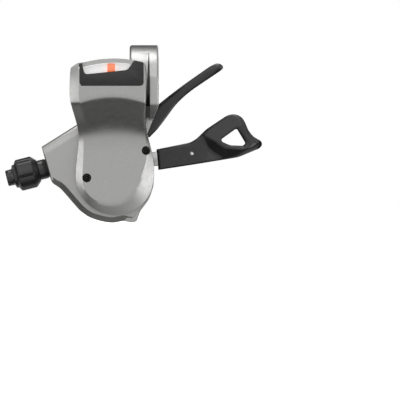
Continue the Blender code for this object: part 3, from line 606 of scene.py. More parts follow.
def cover_grid(rows):
    bottom = arc(FLAT_CENTRE, FLAT_RADIUS, 205, 335, COLUMNS)
    grid = []
    for height, level, arch, weight in rows:
        left = smooth_at(height, FLAT_LEFT)
        right = smooth_at(height, FLAT_RIGHT)
        line = []
        for j in range(COLUMNS + 1):
            share = j / COLUMNS
            x = left + (right - left) * share
            z = height + 4.0 * arch * share * (1.0 - share)
            if height > 0.0:
                z += weight * (head_top(x, HEAD_TOP_RADIUS - 0.5) - FLAT_TOP)
            elif height < -30.0:
                even = bottom[0][0] + (bottom[-1][0] - bottom[0][0]) * share
                x += weight * (bottom[j][0] - even)
                z += weight * (bottom[j][1] - bottom[0][1])
            line.append((x, level, z))
        grid.append(line)
    return grid


def cover_border(rows):
    """Round the flat area: outline point, level of the bevel's foot and level of the rim."""

    def side(part, outline, drops, rims):
        return [
            (smooth_at(z, outline), z, level + straight_at(z, drops), straight_at(z, rims))
            for z, level, _, _ in part
        ]

    top = []
    for j in range(COLUMNS + 1):
        x = [COVER_LEFT, COVER_LEFT + 2.8][j] if j < 2 else -24.0 + 25.0 * (j - 2) / (COLUMNS - 2)
        z = [5.3, 7.3][j] if j < 2 else head_top(x, HEAD_TOP_RADIUS)
        rim = -12.0 - 3.3 * min(1.0, j / (COLUMNS * 0.7))
        top.append((x, z, HEAD_FRONT + (LEFT_DROP[-1][1] if j == 0 else 0.6), rim))
    bottom = []
    for j, (x, z) in enumerate(arc(LOBE_CENTRE, LOBE_RADIUS, 336, 204, COLUMNS)):
        bottom.append((x, z, LOBE_FRONT + straight_at(j / COLUMNS, BOTTOM_DROP), COVER_HIGH.y))
    right = side(rows[1:-1], OUTER_RIGHT, RIGHT_DROP, RIGHT_RIM)
    return top + right + bottom + side(rows[-2:0:-1], OUTER_LEFT, LEFT_DROP, LEFT_RIM)


def crease_loop(bm, loop, value):
    layer = bm.edges.layers.float.get("crease_edge") or bm.edges.layers.float.new("crease_edge")
    for i, vertex in enumerate(loop):
        edge = bm.edges.get((vertex, loop[(i + 1) % len(loop)]))
        if edge:
            edge[layer] = value


def fill_grid(bm, grid):
    for upper, lower in zip(grid, grid[1:]):
        for j in range(len(upper) - 1):
            bm.faces.new((upper[j], upper[j + 1], lower[j + 1], lower[j]))


def around(grid):
    """The vertices along the edge of a grid, once round."""
    ends = [line[-1] for line in grid[1:-1]], [line[0] for line in grid[-2:0:-1]]
    return grid[0] + ends[0] + grid[-1][::-1] + ends[1]


def cover_shell():
    """Front cover: flat area, rounded bevel and side wall, 1.4 mm thick and open behind."""
    rows = cover_rows()
    bm = bmesh.new()
    corner = bm.verts.layers.float.new("crease_vert")
    grid = [[bm.verts.new(p) for p in line] for line in cover_grid(rows)]
    fill_grid(bm, grid)
    edge = around(grid)
    border = cover_border(rows)
    foot = [bm.verts.new((x, level, z)) for x, z, level, _ in border]
    rim = [bm.verts.new((x, level, z)) for x, z, _, level in border]
    wall = [bm.verts.new(a.co.lerp(b.co, 0.12)) for a, b in zip(foot, rim)]
    bridge(bm, edge, foot)
    bridge(bm, foot, wall)
    bridge(bm, wall, rim)
    crease_loop(bm, edge, 0.62)
    crease_loop(bm, foot, 0.55)
    crease_loop(bm, rim, 1.0)
    for vertex in foot[:2] + wall[:2] + rim[:2]:
        vertex[corner] = 0.8
    obj = write("cover_shell", bm, "silver_paint")
    modifier(obj, "SUBSURF", levels=2, render_levels=2)
    modifier(obj, "SOLIDIFY", thickness=COVER_WALL * MM, offset=-1.0, use_even_offset=True)
    low, high = corners("display_bezel")
    gap = 0.25
    sides = low.x - gap, high.x + gap, low.z - gap
    recess = head_outline(*sides, HEAD_TOP_RADIUS + 6.0, 1.5)
    cut(obj, extruded(recess, HEAD_FRONT - 5.0, HEAD_FRONT + 2.6))
    for node in COVER_SCREWS:
        cut(obj, rod(screw_centre(node), COUNTERBORE, -30.0, LOBE_FRONT + 1.9))
    finish_piece(obj, "front_cover", angle=24.0)


def screw_centre(node):
    low, high = corners(node)
    return ((low.x + high.x) / 2, (low.z + high.z) / 2)


def head_outline(left, right, bottom, radius, corner):
    """Outline of a piece in the head: arched top and two round lower corners."""
    low = arc((left + corner, bottom + corner), corner, 180, 270, 8)
    low += arc((right - corner, bottom + corner), corner, 270, 360, 8)
    return low + head_arc(right, left, radius)


def cross_recess(centre, front, depth, reach=0.95, width=0.34):
    """Cutter for a cross-shaped screw recess."""
    cross, quarter = [], [(width, reach), (-width, reach), (-width, width)]
    for _ in range(4):
        cross += quarter
        quarter = [(-z, x) for x, z in quarter]
    levels = ((front - 0.5, 1), (front, 1), (front + depth, 0.6))
    a, b = centre
    return lofted([[(a + x * s, y, b + z * s) for x, z in cross] for y, s in levels])


def cover_screw(node):
    """Pan-head screw with a cross recess, seated in the cover's counterbore."""
    low, high = corners(node)
    centre = screw_centre(node)
    front, head = low.y - 0.55, 1.58
    turns = np.linspace(0, math.pi / 2, 9)[1:]
    crown = [(head * math.sin(t), front + 0.75 * (1 - math.cos(t)) ** 1.3) for t in turns]
    shank = [(head, front + 1.5), (0.9, front + 1.5), (0.9, high.y), (0, high.y)]
    profile = [(0.0, front)] + crown + shank
    obj = write(f"{node}_piece", turned_at(centre, profile, 40), "black_steel")
    cut(obj, cross_recess(centre, front, 0.8))
    finish_piece(obj, node)


# ---- display


# The surround's front bends back above this height, fully so this far to the right
BEND_FOOT = 2.5
BEND_LEFT, BEND_WIDTH = -14.0, 8.0
BEND, BEND_LIMIT = 0.09, 1.5


def display_bezel():
    """Black surround, a touch proud of the cover, with a slanted window."""
    low, high = corners("display_bezel")
    outline = head_outline(low.x, high.x, low.z, HEAD_TOP_RADIUS - 0.15, 1.3)
    obj = write("bezel", extruded(outline, low.y - 0.1, high.y), "display_black")
    window = [
        (low.x - 2.1, 20), (low.x + 2.15, 2.75), (high.x - 6.2, 4.5), (high.x - 3.4, 8.7),
        (high.x - 3.4, 20.0),
    ]
    cut(obj, extruded(rounded(window, 1.3, 6, keep=(3,)), low.y - 5.0, 0.0))
    foot = (low.x + 0.5, high.x - 0.8), (high.y - 0.55, high.y), (low.z - 0.7, low.z + 0.8)
    join(obj, block(*foot))
    bevel(obj, 0.22, 3, 40.0)
    apply_modifiers(obj)
    for vertex in obj.data.vertices:
        above = max(0.0, vertex.co.z / MM - BEND_FOOT)
        right = min(1.0, max(0.0, vertex.co.x / MM - BEND_LEFT) / BEND_WIDTH)
        if vertex.co.y / MM < low.y + 0.6:  # the front only
            vertex.co.y += min(BEND_LIMIT, BEND * above**2 * right) * MM
    finish_piece(obj, "display_bezel")


def window_lip():
    """Silver lip behind the window's arched top edge."""
    low, high = corners("window_lens")
    right, left = high.x + 0.3, low.x + 0.1
    outline = head_arc(right, left, HEAD_TOP_RADIUS - 0.12)
    outline += head_arc(right, left, HEAD_TOP_RADIUS - 1.75)[::-1]
    obj = write("window_lip", extruded(outline, high.y + 0.1, high.y + 0.5), "silver_paint")
    shade(obj)
    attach(obj, "frame")


def window_lens():
    """Clear moulding with a stepped top edge, just inside the surround."""
    low, high = corners("window_lens")
    outline = [(low.x + 1.55, 3.15), (high.x - 2.2, 4.8)]
    outline += head_arc(high.x + 0.55, low.x + 0.75, HEAD_TOP_RADIUS - 0.1, 16)
    obj = write("lens", extruded(outline, low.y + 0.15, high.y), "clear_lens")
    bevel(obj, 0.25, 3, 40.0)
    finish_piece(obj, "window_lens")


# ---- housing


def housing_edges():
    """Outline of the cast body, and how far the bevel of its front reaches in from each edge."""
    left, right = HOUSING_LOW.x, HOUSING_HIGH.x
    top, foot = HOUSING_HIGH.z, HOUSING_LOW.z
    horn_end = [(left, -26.1), (left + 3.6, -38.9)]
    swoop = [horn_end[1], (-36.6, -40.6), (-33.6, -42.7), (-31.2, -45.3), (-28.7, -48.2)]
    swoop = curve_through(swoop, 4)
    belly = [
        swoop[-1], (-25.6, -51.6), (-22.3, -54), (-19, -55.3), (-15.3, -56.2), (-12, foot),
        (-8.5, -55.7),
    ]
    belly = curve_through(belly, 4)[1:]
    tab = rounded([belly[-1], (-5, foot), (-3.1, -56), (-1.5, -51.6)], 0.7, 3)
    flank = [
        tab[-1], (0.1, -49.5), (1.9, -46.8), (3.5, -42.3), (right, -39), (3.7, -35.5),
        (2.9, -29.4), (0.9, -21.5),
    ]
    flank = curve_through(flank, 4)
    outline = [(-9, top), (-27.1, top), horn_end[0]] + swoop + belly + tab[1:-1] + flank
    reach = [2.2, 3.3, 0.5]
    reach += [0.5 + 1.7 * min(1.0, i / 5) for i in range(len(swoop))]
    reach += [2.2] * (len(belly) + len(tab) - 2) + [0.6] * (len(flank) + 1)
    return outline + [(-7.5, -21.5)], reach


# Section of the horn's upper edge, from the front face out: share of its reach, and depth
HORN_FILLET = [
    (1.05, 0), (1, 0.01), (0.62, 0.38), (0.3, 0.74), (0.17, 1.1), (0.08, 1.7), (0.02, 2.5),
    (0, 3.4),
]
CHAMFER_DEPTH = 2.4  # of the straight bevel everywhere else
DRUM_ROOM = 13.9  # radii of the spaces for the drum and for the detent collar
COLLAR_ROOM = 3.85


def housing_body():
    """Cast body: walls round the drum, a web in front, and the horn that takes the adjuster."""
    outline, reach = housing_edges()
    rings = []
    for step, (fillet, drop) in enumerate(HORN_FILLET):
        chamfer = math.cos(math.radians(90.0 * step / (len(HORN_FILLET) - 1)))
        shares = [fillet] * 2 + [chamfer] * (len(reach) - 2)
        moved = offset_edges(outline, [r * share for r, share in zip(reach, shares)])
        drops = [drop] * 3 + [CHAMFER_DEPTH * (1.0 - chamfer)] * (len(outline) - 3)
        rings.append([(x, HOUSING_LOW.y + drop, z) for (x, z), drop in zip(moved, drops)])
    back = HOUSING_HIGH.y
    rings.append([(x, back - 0.4, z) for x, z in outline])
    rings.append([(x, back, z) for x, z in offset_edges(outline, [0.35] * len(outline))])
    obj = write("housing_body", lofted(rings), "silver_paint")
    cut(obj, rod(AXLE, DRUM_ROOM, 2.5, 30.0, 96), rod(AXLE, 8.8, -5.0, 5.0, 64))
    bore = [(0, 1), (COLLAR_ROOM, 1), (COLLAR_ROOM, -5.2), (2.6, -5.2), (2.6, -22), (0, -22)]
    cut(obj, turned(bore, HORN_POINT, HORN_AXIS, 48))
    for node in REAR_SCREWS:
        cut(obj, rod(screw_centre(node), 1.3, 8.0, 20.0, 24))
    for node in BRACKET_SCREWS:
        low, high = corners(node)
        base = ((low.x + high.x) / 2, (low.y + high.y) / 2, low.z + 1.9)
        pocket = [(0, -6), (2.1, -6), (2.1, 0), (1.6, 0), (1.6, 9), (0, 9)]
        cut(obj, turned(pocket, base, (0, 0, 1), 32))
    finish_piece(obj, "base_housing", angle=26.0)


def housing_lug():
    """Small cast lug under the lobe, with its face turned to the front."""
    front, foot = HOUSING_LOW.y, HOUSING_LOW.z
    outline = [
        (-8.2, foot + 0.8), (-4.4, -52.4), (-1.75, -51.6), (-3.1, -55.6), (-4, foot + 0.15),
        (-5.6, foot + 0.15),
    ]
    outline = rounded(outline + outline[:1], 0.5, 3)[:-1]
    obj = write("housing_lug", extruded(outline, front + 0.5, front + 4.0), "silver_paint")
    bevel(obj, 0.35, 3)
    apply_modifiers(obj)
    shade(obj)
    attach(obj, "frame")


# ---- clamp

CLAMP_RADIUS = CLAMP_HIGH.z
BAR_RADIUS = 11.1
RIM_LEFT = 2.4
RIM_FRONT = CLAMP_LOW.y
NECK_BACK = 15.6
NECK_FRONT = -4.0
GROOVE_FOOT_X = (0.6, 2.4)
GROOVE_FOOT_Z = (-14.6, -9.8)
GROOVE_FLOOR = -7.0


def clamp_profile(front):
    """The clamp seen along the bar: a circle, with a flat front pad where one is asked for."""
    if front is None:
        return arc((0.0, 0.0), CLAMP_RADIUS, 0, 360, 119)[:-1]
    pad = [(front + 2.5, 6.85), (front, 2.2), (front, -8.9), (-11.3, -15), (NECK_FRONT, -15.6)]
    pad = rounded(pad, 0.9, 4, keep=(3,))[1:]
    return arc((0.0, 0.0), CLAMP_RADIUS, -60, 152, 70) + pad


def clamp_groove(height=7.0, inside=0.0):
    """Wedge beside the rim strip, opening from a point near the top to the neck."""
    rings = []
    for angle in range(126, 245, 3):
        share = (angle - 126) / 118.0
        depth = 14.7 - 3.2 * min(1.0, share * 4.0)
        near = 1.9 - 1.3 * min(1.0, share * 1.3) + inside
        far = 2.0 + 0.4 * min(1.0, share * 2.0) - inside
        turn = math.radians(angle)
        low, high = depth + inside, min(18.5, depth + height)
        section = [(near, low), (far, low), (far, high), (near, high)]
        rings.append([(x, r * math.cos(turn), r * math.sin(turn)) for x, r in section])
    return lofted(rings)


def clamp_body():
    """Band round the handlebar, ears for the bolt behind it, and the neck down to the housing."""
    left, right = CLAMP_LOW.x, CLAMP_HIGH.x
    band = rounded_bar(clamp_profile(None), left, RIM_LEFT, 1.0, 0.0, "X")
    obj = write("clamp_body", band, "silver_paint")
    join(obj, rounded_bar(clamp_profile(RIM_FRONT), RIM_LEFT - 0.4, right, 0.3, 0.9, "X"))
    neck = [
        (NECK_FRONT, -12.5), (NECK_FRONT, CLAMP_LOW.z), (NECK_BACK, CLAMP_LOW.z),
        (NECK_BACK, -10), (12.9, -5), (6, -12.5),
    ]
    join(obj, extruded(neck, left + 0.1, right - 0.1, "X"))
    back, half, corner = CLAMP_HIGH.y, 7.4, 3.0
    ears = [(11.5, -half)] + arc((back - corner, corner - half), corner, -90, 0, 10)
    ears += arc((back - corner, half - corner), corner, 0, 90, 10) + [(11.5, half)]
    join(obj, extruded(ears, left + 0.4, right - 0.4, "X"))
    cut(obj, turned(straight(BAR_RADIUS, -9, 9), (0, 0, 0), (1, 0, 0), 120))
    cut(obj, block((-9, 9), (9, 24), (-1.2, 1.2)))
    low, high = corners("clamp_bolt")
    bolt_y = (low.y + high.y) / 2
    cut(obj, turned(straight(2.8, -12, 12), (0, bolt_y, 0), (0, 0, 1), 48))
    taper = [(5.9, -9.4), (1, -21.3), (1, -30), (12, -30), (12, -9.4)]
    cut(obj, extruded(taper, -20.0, 30.0))
    cut(obj, clamp_groove())
    cut(obj, block(GROOVE_FOOT_X, (-25.0, GROOVE_FLOOR), GROOVE_FOOT_Z))
    bevel(obj, 0.4, 4, 35.0)
    finish_piece(obj, "clamp_bracket", angle=40.0)


def groove_shade_strip():
    """Black strip on the floor of the clamp's groove: painted shade, making the deep gap read dark.
    """
    obj = write("groove_shade_strip", clamp_groove(0.5, 0.06), "black_plastic")
    across, up = [(low + 0.06, high - 0.06) for low, high in (GROOVE_FOOT_X, GROOVE_FOOT_Z)]
    join(obj, block(across, (GROOVE_FLOOR - 0.5, GROOVE_FLOOR - 0.06), up))
    shade(obj)
    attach(obj, "frame")


# ---- sculpted plastic


FAR = 60.0  # beyond every piece, either way
PLATE_PLAY = 0.15


def from_segment(points, a, b):
    """The way from a to b, and the reach to each point from its nearest place on that segment."""
    way = b - a
    share = np.clip((points - a) @ way / (way @ way), 0.0, 1.0)
    return way, points - a - share[:, None] * way


def signed_distance(points, loops):
    """Distance from each point to the nearest edge of the loops; negative outside them."""
    nearest = np.full(len(points), np.inf)
    inside = np.zeros(len(points), dtype=bool)
    for loop in loops:
        knots = np.array(loop)
        for a, b in zip(knots, np.roll(knots, -1, axis=0)):
            if np.allclose(a, b):
                continue
            way, reach = from_segment(points, a, b)
            nearest = np.minimum(nearest, np.linalg.norm(reach, axis=1))
            rise = way[1] if abs(way[1]) > 1e-9 else 1e-9
            crossed = (a[1] > points[:, 1]) != (b[1] > points[:, 1])
            inside ^= crossed & (points[:, 0] < a[0] + (points[:, 1] - a[1]) * way[0] / rise)
    return np.where(inside, nearest, -nearest)


def beside_line(points, line):
    """Signed distance from each point to an open line; positive on its left."""
    nearest = np.full(len(points), np.inf)
    side = np.zeros(len(points))
    knots = np.array(line)
    for a, b in zip(knots, knots[1:]):
        way, reach = from_segment(points, a, b)
        distance = np.linalg.norm(reach, axis=1)
        turn = way[0] * reach[:, 1] - way[1] * reach[:, 0]
        closer = distance < nearest
        nearest = np.where(closer, distance, nearest)
        side = np.where(closer, np.sign(turn), side)
    return nearest * side


def rollover(distance, radius, steepness=0.6):
    """How far a face falls away near its edge; the radius may differ from point to point."""
    return steepness * radius * np.maximum(0.0, 1.0 - distance / radius) ** 2


def sculpted(name, outline, holes, front, back, slot, step=0.4):
    """A plate cut to an outline, whose two faces follow functions of place and edge distance."""
    low, high = np.min(outline, axis=0) - 1.0, np.max(outline, axis=0) + 1.0
    xs = np.linspace(low[0], high[0], int((high[0] - low[0]) / step) + 1)
    zs = np.linspace(low[1], high[1], int((high[1] - low[1]) / step) + 1)
    across, up = np.meshgrid(xs, zs, indexing="ij")
    points = np.column_stack([across.ravel(), up.ravel()])
    distance = signed_distance(points, [outline] + list(holes))
    bm = bmesh.new()
    sheets = []
    for levels in (front(points, distance), back(points, distance)):
        made = [bm.verts.new((x, y, z)) for (x, z), y in zip(points.tolist(), levels.tolist())]
        sheets.append([made[i * len(zs) : (i + 1) * len(zs)] for i in range(len(xs))])
    for sheet in sheets:
        fill_grid(bm, sheet)
    bridge(bm, *map(around, sheets))
    obj = write(name, bm, slot)
    boolean(obj, "INTERSECT", extruded(outline, -FAR, FAR))
    cut(obj, *(extruded(hole, -FAR, FAR) for hole in holes))
    return obj


def cut_for_plate(obj, node, slit):
    """Make room for a steel lever plate inside its plastic."""
    low, high = corners(node)
    cut(obj, extruded(slit, low.y - PLATE_PLAY, high.y + PLATE_PLAY))


# ---- levers

PAD_OUTLINE = [
    (4.8, -27), (5.6, -35.3), (20, -33.1), (37.7, -30.2), (46.3, -26.6), (47.4, -25.2),
    (46.9, -23.6), (44, -22.1), (41.8, -19.5), (40.6, -16.5), (39.4, -14.3), (37.2, -13),
    (34.8, -12.9), (32.8, -13.6), (24.7, -19), (20.9, -22.8), (18.3, -24.3), (4.8, -27),
]
RING_HOLE = [
    (37, -18.6), (31, -22.9), (31.1, -23.9), (34.3, -25.35), (39.6, -25.6), (40.6, -24.6),
    (37, -18.6),
]
# The crest that parts the arm's hollow from the ring's face
PAD_CREST = [
    (22.4, -15), (26, -20.4), (29.6, -24.6), (32.6, -26.5), (39, -27.1), (43.4, -26.2),
    (49, -21.0),
]
PAD_ARM_FRONT = 22.0
PAD_RISE = 1.9
RING_FOLD = (31.2, -22.8)  # from here the ring's face falls back, along RING_WAY
RING_WAY = (-0.58, 0.81)
RING_TILT = 0.3
# Height in front of the arm by distance from the crest
PAD_HOLLOW = [
    (-9.5, 0), (-7.5, -0.35), (-6.2, -0.9), (-5, -1.2), (-4, -1), (-3, -0.3),
    (0.0, PAD_RISE),
]
HOLLOW_FADE = [21.5, 25.0]  # the hollow sets in between these places along X
TIP_START = 40.8  # the tip slopes back from here along X
TIP_SLOPE = 0.5


def pad_front(points, distance):
    """Flat arm, a hollow that rises to the crest, and the ring's face, which slopes back."""
    past = beside_line(points, PAD_CREST)
    hollow = np.interp(past, *zip(*PAD_HOLLOW))
    depth = np.interp(points[:, 0], HOLLOW_FADE, [0.0, 1.0])
    hollow = np.where(hollow < 0.0, hollow * depth, hollow)
    beyond = np.maximum(0.0, (points - np.array(RING_FOLD)) @ np.array(RING_WAY))
    face = np.maximum(0.0, PAD_RISE - RING_TILT * beyond)
    height = np.where(past < 0.0, np.minimum(hollow, face), face)
    height -= TIP_SLOPE * np.maximum(0.0, points[:, 0] - TIP_START)
    radius = np.interp(points[:, 0], [36.0, 41.0], [0.9, 2.6])
    return PAD_ARM_FRONT - height + rollover(distance, radius)


def thumb_pad():
    """Thumb pad: straight arm over the lever's plate, opening into a three-cornered ring."""
    level = corners("thumb_pad")[1].y

    def back(points, distance):
        return level - rollover(distance, 1.2)

    outline = tidy_loop(PAD_OUTLINE, 1.5, keep=(1, len(PAD_OUTLINE) - 1))
    hole = tidy_loop(RING_HOLE, 0.9)
    obj = sculpted("thumb_pad_piece", outline, [hole], pad_front, back, "black_plastic")
    slit = [(2, -28.4), (20, -26.1), (20.3, -31.1), (2, -34.1)]
    cut_for_plate(obj, "main_lever_plate", slit)
    finish_piece(obj, "thumb_pad", angle=38.0)


def tidy_loop(loop, radius, keep=()):
    """A closed outline with its corners rounded; its last point repeats the first."""
    middle = ((loop[0][0] + loop[1][0]) / 2, (loop[0][1] + loop[1][1]) / 2)
    return rounded([middle] + loop[1:] + [middle], radius, 5, keep)[:-1]


def pad_pin():
    """Pin through the pad and the lever's plate, with a low domed head in front."""
    end = corners("thumb_pad_pin")[1].y
    head = PAD_ARM_FRONT - 0.3
    profile = [
        (0, head), (0.35, head + 0.03), (0.6, head + 0.12), (0.75, head + 0.3),
        (0.75, head + 0.5), (0.65, head + 0.5), (0.65, end), (0, end),
    ]
    obj = write("pad_pin", turned_at(screw_centre("thumb_pad_pin"), profile, 32), "steel")
    finish_piece(obj, "thumb_pad_pin")


GRIP_TOP = [
    (-1, -21.6), (-0.6, -19), (1.4, -15.3), (3.5, -11.5), (5.9, -8.85), (9.6, -5.8),
    (13.4, -2.9), (17.2, -0.1), (22.7, 3.75), (26, 6.05), (27.9, 7.05),
]
GRIP_TIP = [(29.2, 7.45), (30.5, 7.2), (31.4, 6.5), (31.6, 5.7), (31.1, 5)]
GRIP_FOOT = [
    (30, 4.1), (26, 1.4), (21.1, -1.9), (18.4, -3.85), (15.7, -6.1), (12.9, -8.9),
    (10.7, -11.7), (8.3, -15), (5.2, -19), (2.1, -22.2),
]


def release_grip():
    """Long thin grip of the release lever, full in section and rounded at its tip."""
    low, high = corners("release_grip")
    outline = curve_through(GRIP_TOP + GRIP_TIP + GRIP_FOOT, 3)

    def front(points, distance):
        return low.y + rollover(distance, np.interp(points[:, 0], [25.0, 29.0], [1.3, 2.2]), 0.55)

    def back(points, distance):
        return high.y - rollover(distance, 1.2)

    obj = sculpted("release_grip_piece", outline, [], front, back, "black_plastic", 0.36)
    slit = [(-8, -29.6), (-1.8, -27.4), (4.1, -18.6), (7.2, -13.8), (4.6, -11.9), (-3, -21.4)]
    cut_for_plate(obj, "release_lever_plate", slit)
    finish_piece(obj, "release_grip", angle=38.0)


# ---- cable adjuster

PADS = 6
PAD_PHASE = 0.117


def grooved(profile, depth, span, sides=180):
    """Revolve (radius, height) points about the horn, with shallow grooves between wide pads."""
    axis = HORN_AXIS.normalized()
    across, other = across_axis(axis)
    rings = []
    for radius, height in profile:
        ring = []
        centre = HORN_POINT + axis * height
        window = float(np.clip(min(height - span[0], span[1] - height) / 0.7, 0.0, 1.0))
        for i in range(sides):
            turn = 2.0 * math.pi * i / sides
            off_middle = abs((turn * PADS / (2.0 * math.pi) + PAD_PHASE) % 1.0 - 0.5) * 2.0
            groove = float(np.clip((off_middle - 0.78) / 0.16, 0.0, 1.0)) ** 2
            reach = radius - depth * window * groove
            ring.append(centre + reach * (math.cos(turn) * across + math.sin(turn) * other))
        rings.append(ring)
    return lofted(rings, True)


def adjuster_barrel():
    """Barrel with wide grip pads, a skirt round the collar and a notched tip."""
    full = 6.35
    outside = [(4.15, 3.5), (4.35, 3.3), (6.1, 5.15), (full, 5.55)]
    outside += [(full, 5.55 + 0.4 * i) for i in range(1, 15)]
    outside += [(full - 0.15, 11.6), (5.3, 12.2), (4.75, 12.5), (4.6, 13.4), (3.5, 13.75)]
    outside += [(3.25, 14.1), (3.2, 16.2), (2.9, 16.5), (2, 16.5)]
    inside = [
        (2, 13.4), (1.3, 13.2), (1.3, 12), (2.7, 11.7), (2.7, 9.4), (4.75, 9.4), (4.75, 6),
        (4.15, 5.4),
    ]
    obj = write("barrel", grooved(outside + inside, 0.75, (5.3, 11.9)), "black_plastic")
    across, other = across_axis(HORN_AXIS)
    for i in range(4):
        turn = math.radians(45.0 + 90.0 * i)
        out = math.cos(turn) * across + math.sin(turn) * other
        foot = HORN_POINT + HORN_AXIS * 15.4 + 3.1 * out
        cut(obj, turned(straight(0.62, 0.0, 3.0), foot, HORN_AXIS, 20))
    finish_piece(obj, "adjuster_barrel", angle=28.0)


def detent_collar():
    """Collar in the horn: a plain neck with a flange that the barrel's skirt covers."""
    profile = [
        (2.6, -4.2), (3.45, -4.2), (3.55, -4), (3.55, -0.4), (3.95, 0.25), (3.95, 3.1),
        (3.8, 3.3), (3.8, 5.9), (4.5, 6.2), (4.5, 6.8), (2.6, 6.8),
    ]
    obj = write("collar", turned(profile, HORN_POINT, HORN_AXIS, 96, closed=True), "black_plastic")
    finish_piece(obj, "detent_collar")


# ---- back of the body


def rear_shell():
    """Rounded rear cover with a screw boss, a screw ear, and the side open for the levers."""
    low, high = corners("rear_cover")
    floor_level = high.y - 1.4
    outer = arc(AXLE, 16.0, 90, 150, 16)
    outer += curve_through([(-28.2, -26.4), (-32.4, -28.4), (-33.5, -33.4), (-30.6, -38)], 4)
    outer += arc(AXLE, 16.9, 190, 275, 22) + arc(AXLE, 15.3, 300, 440, 36)
    obj = write("rear_shell", rounded_bar(outer, low.y, high.y, 0.25, 1.3), "silver_paint")
    cut(obj, rod(AXLE, DRUM_ROOM, 10.0, floor_level, 120))
    lower, horn = screw_centre("rear_screw_lower"), screw_centre("rear_screw_horn")
    join(obj, rod(lower, 2.1, low.y, floor_level + 0.3))
    hub = arc(AXLE, 3.0, 40, 40, 1)[:1]
    cut(obj, extruded(hub + arc(AXLE, 24.0, -22, 98, 24), 10.0, floor_level))
    cut(obj, rod(AXLE, 2.8, 20.0, 34.0))
    for centre in (lower, horn):
        cut(obj, rod(centre, 1.2, 10.0, 34.0, 32), rod(centre, 1.75, high.y - 1.8, 34.0, 40))
    ring = [(9.2, high.y - 0.25), (9.8, high.y - 0.25), (9.8, 34), (9.2, 34)]
    cut(obj, turned_at(AXLE, ring, 120, closed=True))
    bevel(obj, 0.18, 2, 40.0)
    finish_piece(obj, "rear_cover", angle=34.0)


def cap_screw(node, direction, head_height, shank):
    """Cap screw with a six-sided socket, its head at the end of its box the direction points to."""
    low, high = corners(node)
    axis = Vector(direction)
    middle, half = (low + high) / 2, (high - low) / 2
    reach = abs(half.dot(axis))
    top = middle + axis * reach
    head = min(value for value, part in zip(half, axis) if abs(part) < 0.5)
    edge = head * 0.12
    profile = [
        (0, 0), (head - edge * 1.4, 0), (head - edge * 0.4, -edge * 0.4), (head, -edge * 1.4),
        (head, -head_height + 0.1), (head - 0.1, -head_height), (shank, -head_height),
        (shank, -2.0 * reach + 0.3), (shank - 0.3, -2.0 * reach), (0, -2.0 * reach),
    ]
    obj = write(f"{node}_piece", turned(profile, top, axis, 64), SLOT_OF[node])
    socket, depth = head * 0.52, head_height * 0.6
    hollow = [(0, 1), (socket, 1), (socket, -depth), (0, -depth - 0.2)]
    cut(obj, turned(hollow, top, axis, 6))
    finish_piece(obj, node)


def axle_head():
    """Axle with a low domed head behind the rear cover."""
    low, high = corners("main_axle")
    base = high.y - 1.2
    profile = [
        (0, low.y), (2.2, low.y), (2.5, low.y + 0.3), (2.5, base), (4.2, base),
        (4.2, base + 0.45), (4.05, base + 0.8), (3.6, base + 1.1), (2.9, base + 1.2),
        (1.9, base + 1.2), (1.7, base + 1.05), (1.7, base + 0.4), (0, base + 0.4),
    ]
    obj = write("axle_head", turned_at(AXLE, profile, 72), "steel")
    finish_piece(obj, "main_axle")


# ---- carried-over CAD nodes


def dress_cad_nodes():
    """Give every CAD node its material, and each one still shown a small edge radius."""
    for name, obj in frame["nodes"].items():
        obj.data.materials.clear()
        obj.data.materials.append(MATERIALS[SLOT_OF[name]])
        if obj.hide_render:
            continue
        modifier(obj, "WELD", merge_threshold=0.002 * MM)
        bevel(obj, 0.12, 2, 40.0)
        shade(obj)


# ---- stage

CAMERA_DISTANCE = 6000.0
PICTURE_WIDTH = 160.0  # millimetres across the picture at the object
OBJECT_OFFSET = Vector((-26.6, 0.0, 26.45))  # the object stands up and left of the picture's centre
SENSOR_WIDTH = 36.0


def camera():
    low, high = (corner / MM for corner in cad_bounds)
    aim = (low + high) / 2 - OBJECT_OFFSET
    data = bpy.data.cameras.new("camera")
    data.sensor_width = SENSOR_WIDTH
    data.lens = SENSOR_WIDTH * CAMERA_DISTANCE / PICTURE_WIDTH
    data.clip_end = 80.0
    obj = added("camera", data)
    obj.location = Vector((aim.x, -CAMERA_DISTANCE, aim.z)) * MM
    obj.rotation_euler = (math.radians(90.0), 0.0, 0.0)
    bpy.context.scene.camera = obj


def softbox(name, place, size, watts):
    """An area light that faces the object's middle; place and size are in metres."""
    data = bpy.data.lights.new(name, "AREA")
    data.shape = "RECTANGLE"
    data.size, data.size_y = size
    data.energy = watts
    obj = added(name, data)
    obj.location = place
    obj.rotation_mode = "QUATERNION"
    obj.rotation_quaternion = (-Vector(place)).to_track_quat("-Z", "Y")


def lights():
    softbox("left_box", (-0.9, -0.3, -0.1), (0.4, 0.75), 1.4)
    softbox("right_box", (0.85, -0.3, -0.25), (0.36, 0.8), 2)
    softbox("top_box", (-0.05, -0.05, 1), (0.8, 0.45), 3)
    softbox("back_box", (0.5, 1, 0.25), (0.7, 0.7), 2.5)


# The surroundings darken towards this direction, behind and below the object
DARK_WAY = Vector((0.0, 0.8, -0.6))
# Their brightness by place between the opposite direction, 0, and that one, 1
SKY = [
    (0, 0.90), (0.09, 0.53), (0.37, 0.53), (0.48, 0.30), (0.6, 0.04), (0.78, 0.05), (0.9, 0.28),
    (1, 0.36),
]
SKY_STRENGTH = 1.63


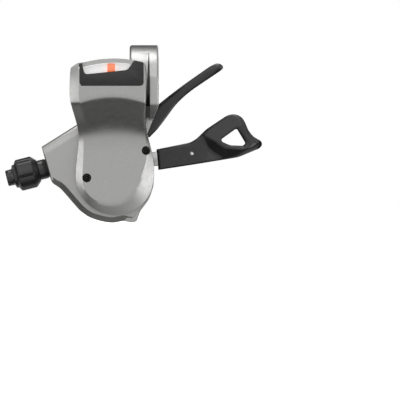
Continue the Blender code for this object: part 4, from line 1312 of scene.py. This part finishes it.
def world():
    """Soft surroundings, darker from below; the camera sees them plain white."""
    studio = bpy.data.worlds.new("studio")
    bpy.context.scene.world = studio
    studio.use_nodes = True
    tree = studio.node_tree
    tree.nodes.clear()
    kinds = ["TexCoord", "VectorMath", "MapRange", "ValToRGB", "LightPath", "MixShader"]
    kinds += ["OutputWorld", "Background", "Background"]
    made = [tree.nodes.new(f"ShaderNode{kind}") for kind in kinds]
    place, towards, shift, ramp, path, mix, out, lit, seen = made
    towards.operation = "DOT_PRODUCT"
    towards.inputs[1].default_value = DARK_WAY
    set_inputs(shift, From_Min=-1.0)
    set_inputs(lit, Strength=SKY_STRENGTH)
    set_inputs(seen, Color=(1.0, 1.0, 1.0, 1.0))
    fill_ramp(ramp, SKY)
    links = [
        (place.outputs["Generated"], towards.inputs[0]),
        (towards.outputs["Value"], shift.inputs["Value"]),
        (shift.outputs["Result"], ramp.inputs["Fac"]),
        (ramp.outputs["Color"], lit.inputs["Color"]),
        (path.outputs["Is Camera Ray"], mix.inputs[0]),
        (lit.outputs[0], mix.inputs[1]),
        (seen.outputs[0], mix.inputs[2]),
        (mix.outputs[0], out.inputs["Surface"]),
    ]
    for source, target in links:
        tree.links.new(source, target)


def floor():
    """Plain pale floor under the object, which the camera sees and the object doesn't mirror."""
    size, drop = 6000.0, 1.0
    level = cad_bounds[0].z / MM - drop
    square = [(-size, -size), (size, -size), (size, size), (-size, size)]
    obj = write("floor", extruded(square, level - 10.0, level, "Z"), None)
    made = bpy.data.materials.new("pale_floor")
    made.use_nodes = True
    shader = made.node_tree.nodes["Principled BSDF"]
    glow = glowing((1.0, 1.0, 1.0), 0.75)
    set_inputs(shader, Base_Color=(0.9, 0.9, 0.9, 1.0), Roughness=0.9, **glow)
    obj.data.materials.append(made)
    for kind in ("glossy", "diffuse", "transmission", "shadow"):
        setattr(obj, f"visible_{kind}", False)


cover_shell()
for screw in COVER_SCREWS:
    cover_screw(screw)
display_bezel()
window_lip()
window_lens()
housing_body()
housing_lug()
clamp_body()
groove_shade_strip()
thumb_pad()
pad_pin()
release_grip()
adjuster_barrel()
detent_collar()
rear_shell()
cap_screw("clamp_bolt", (0, 0, 1), 4.6, 2.5)
for screw in BRACKET_SCREWS:
    cap_screw(screw, (0, 0, -1), 1.6, 1.3)
for screw in REAR_SCREWS:
    cap_screw(screw, (0, 1, 0), 1.3, 0.9)
axle_head()
dress_cad_nodes()
camera()
lights()
world()
floor()
bpy.context.scene.view_settings.view_transform = "Standard"
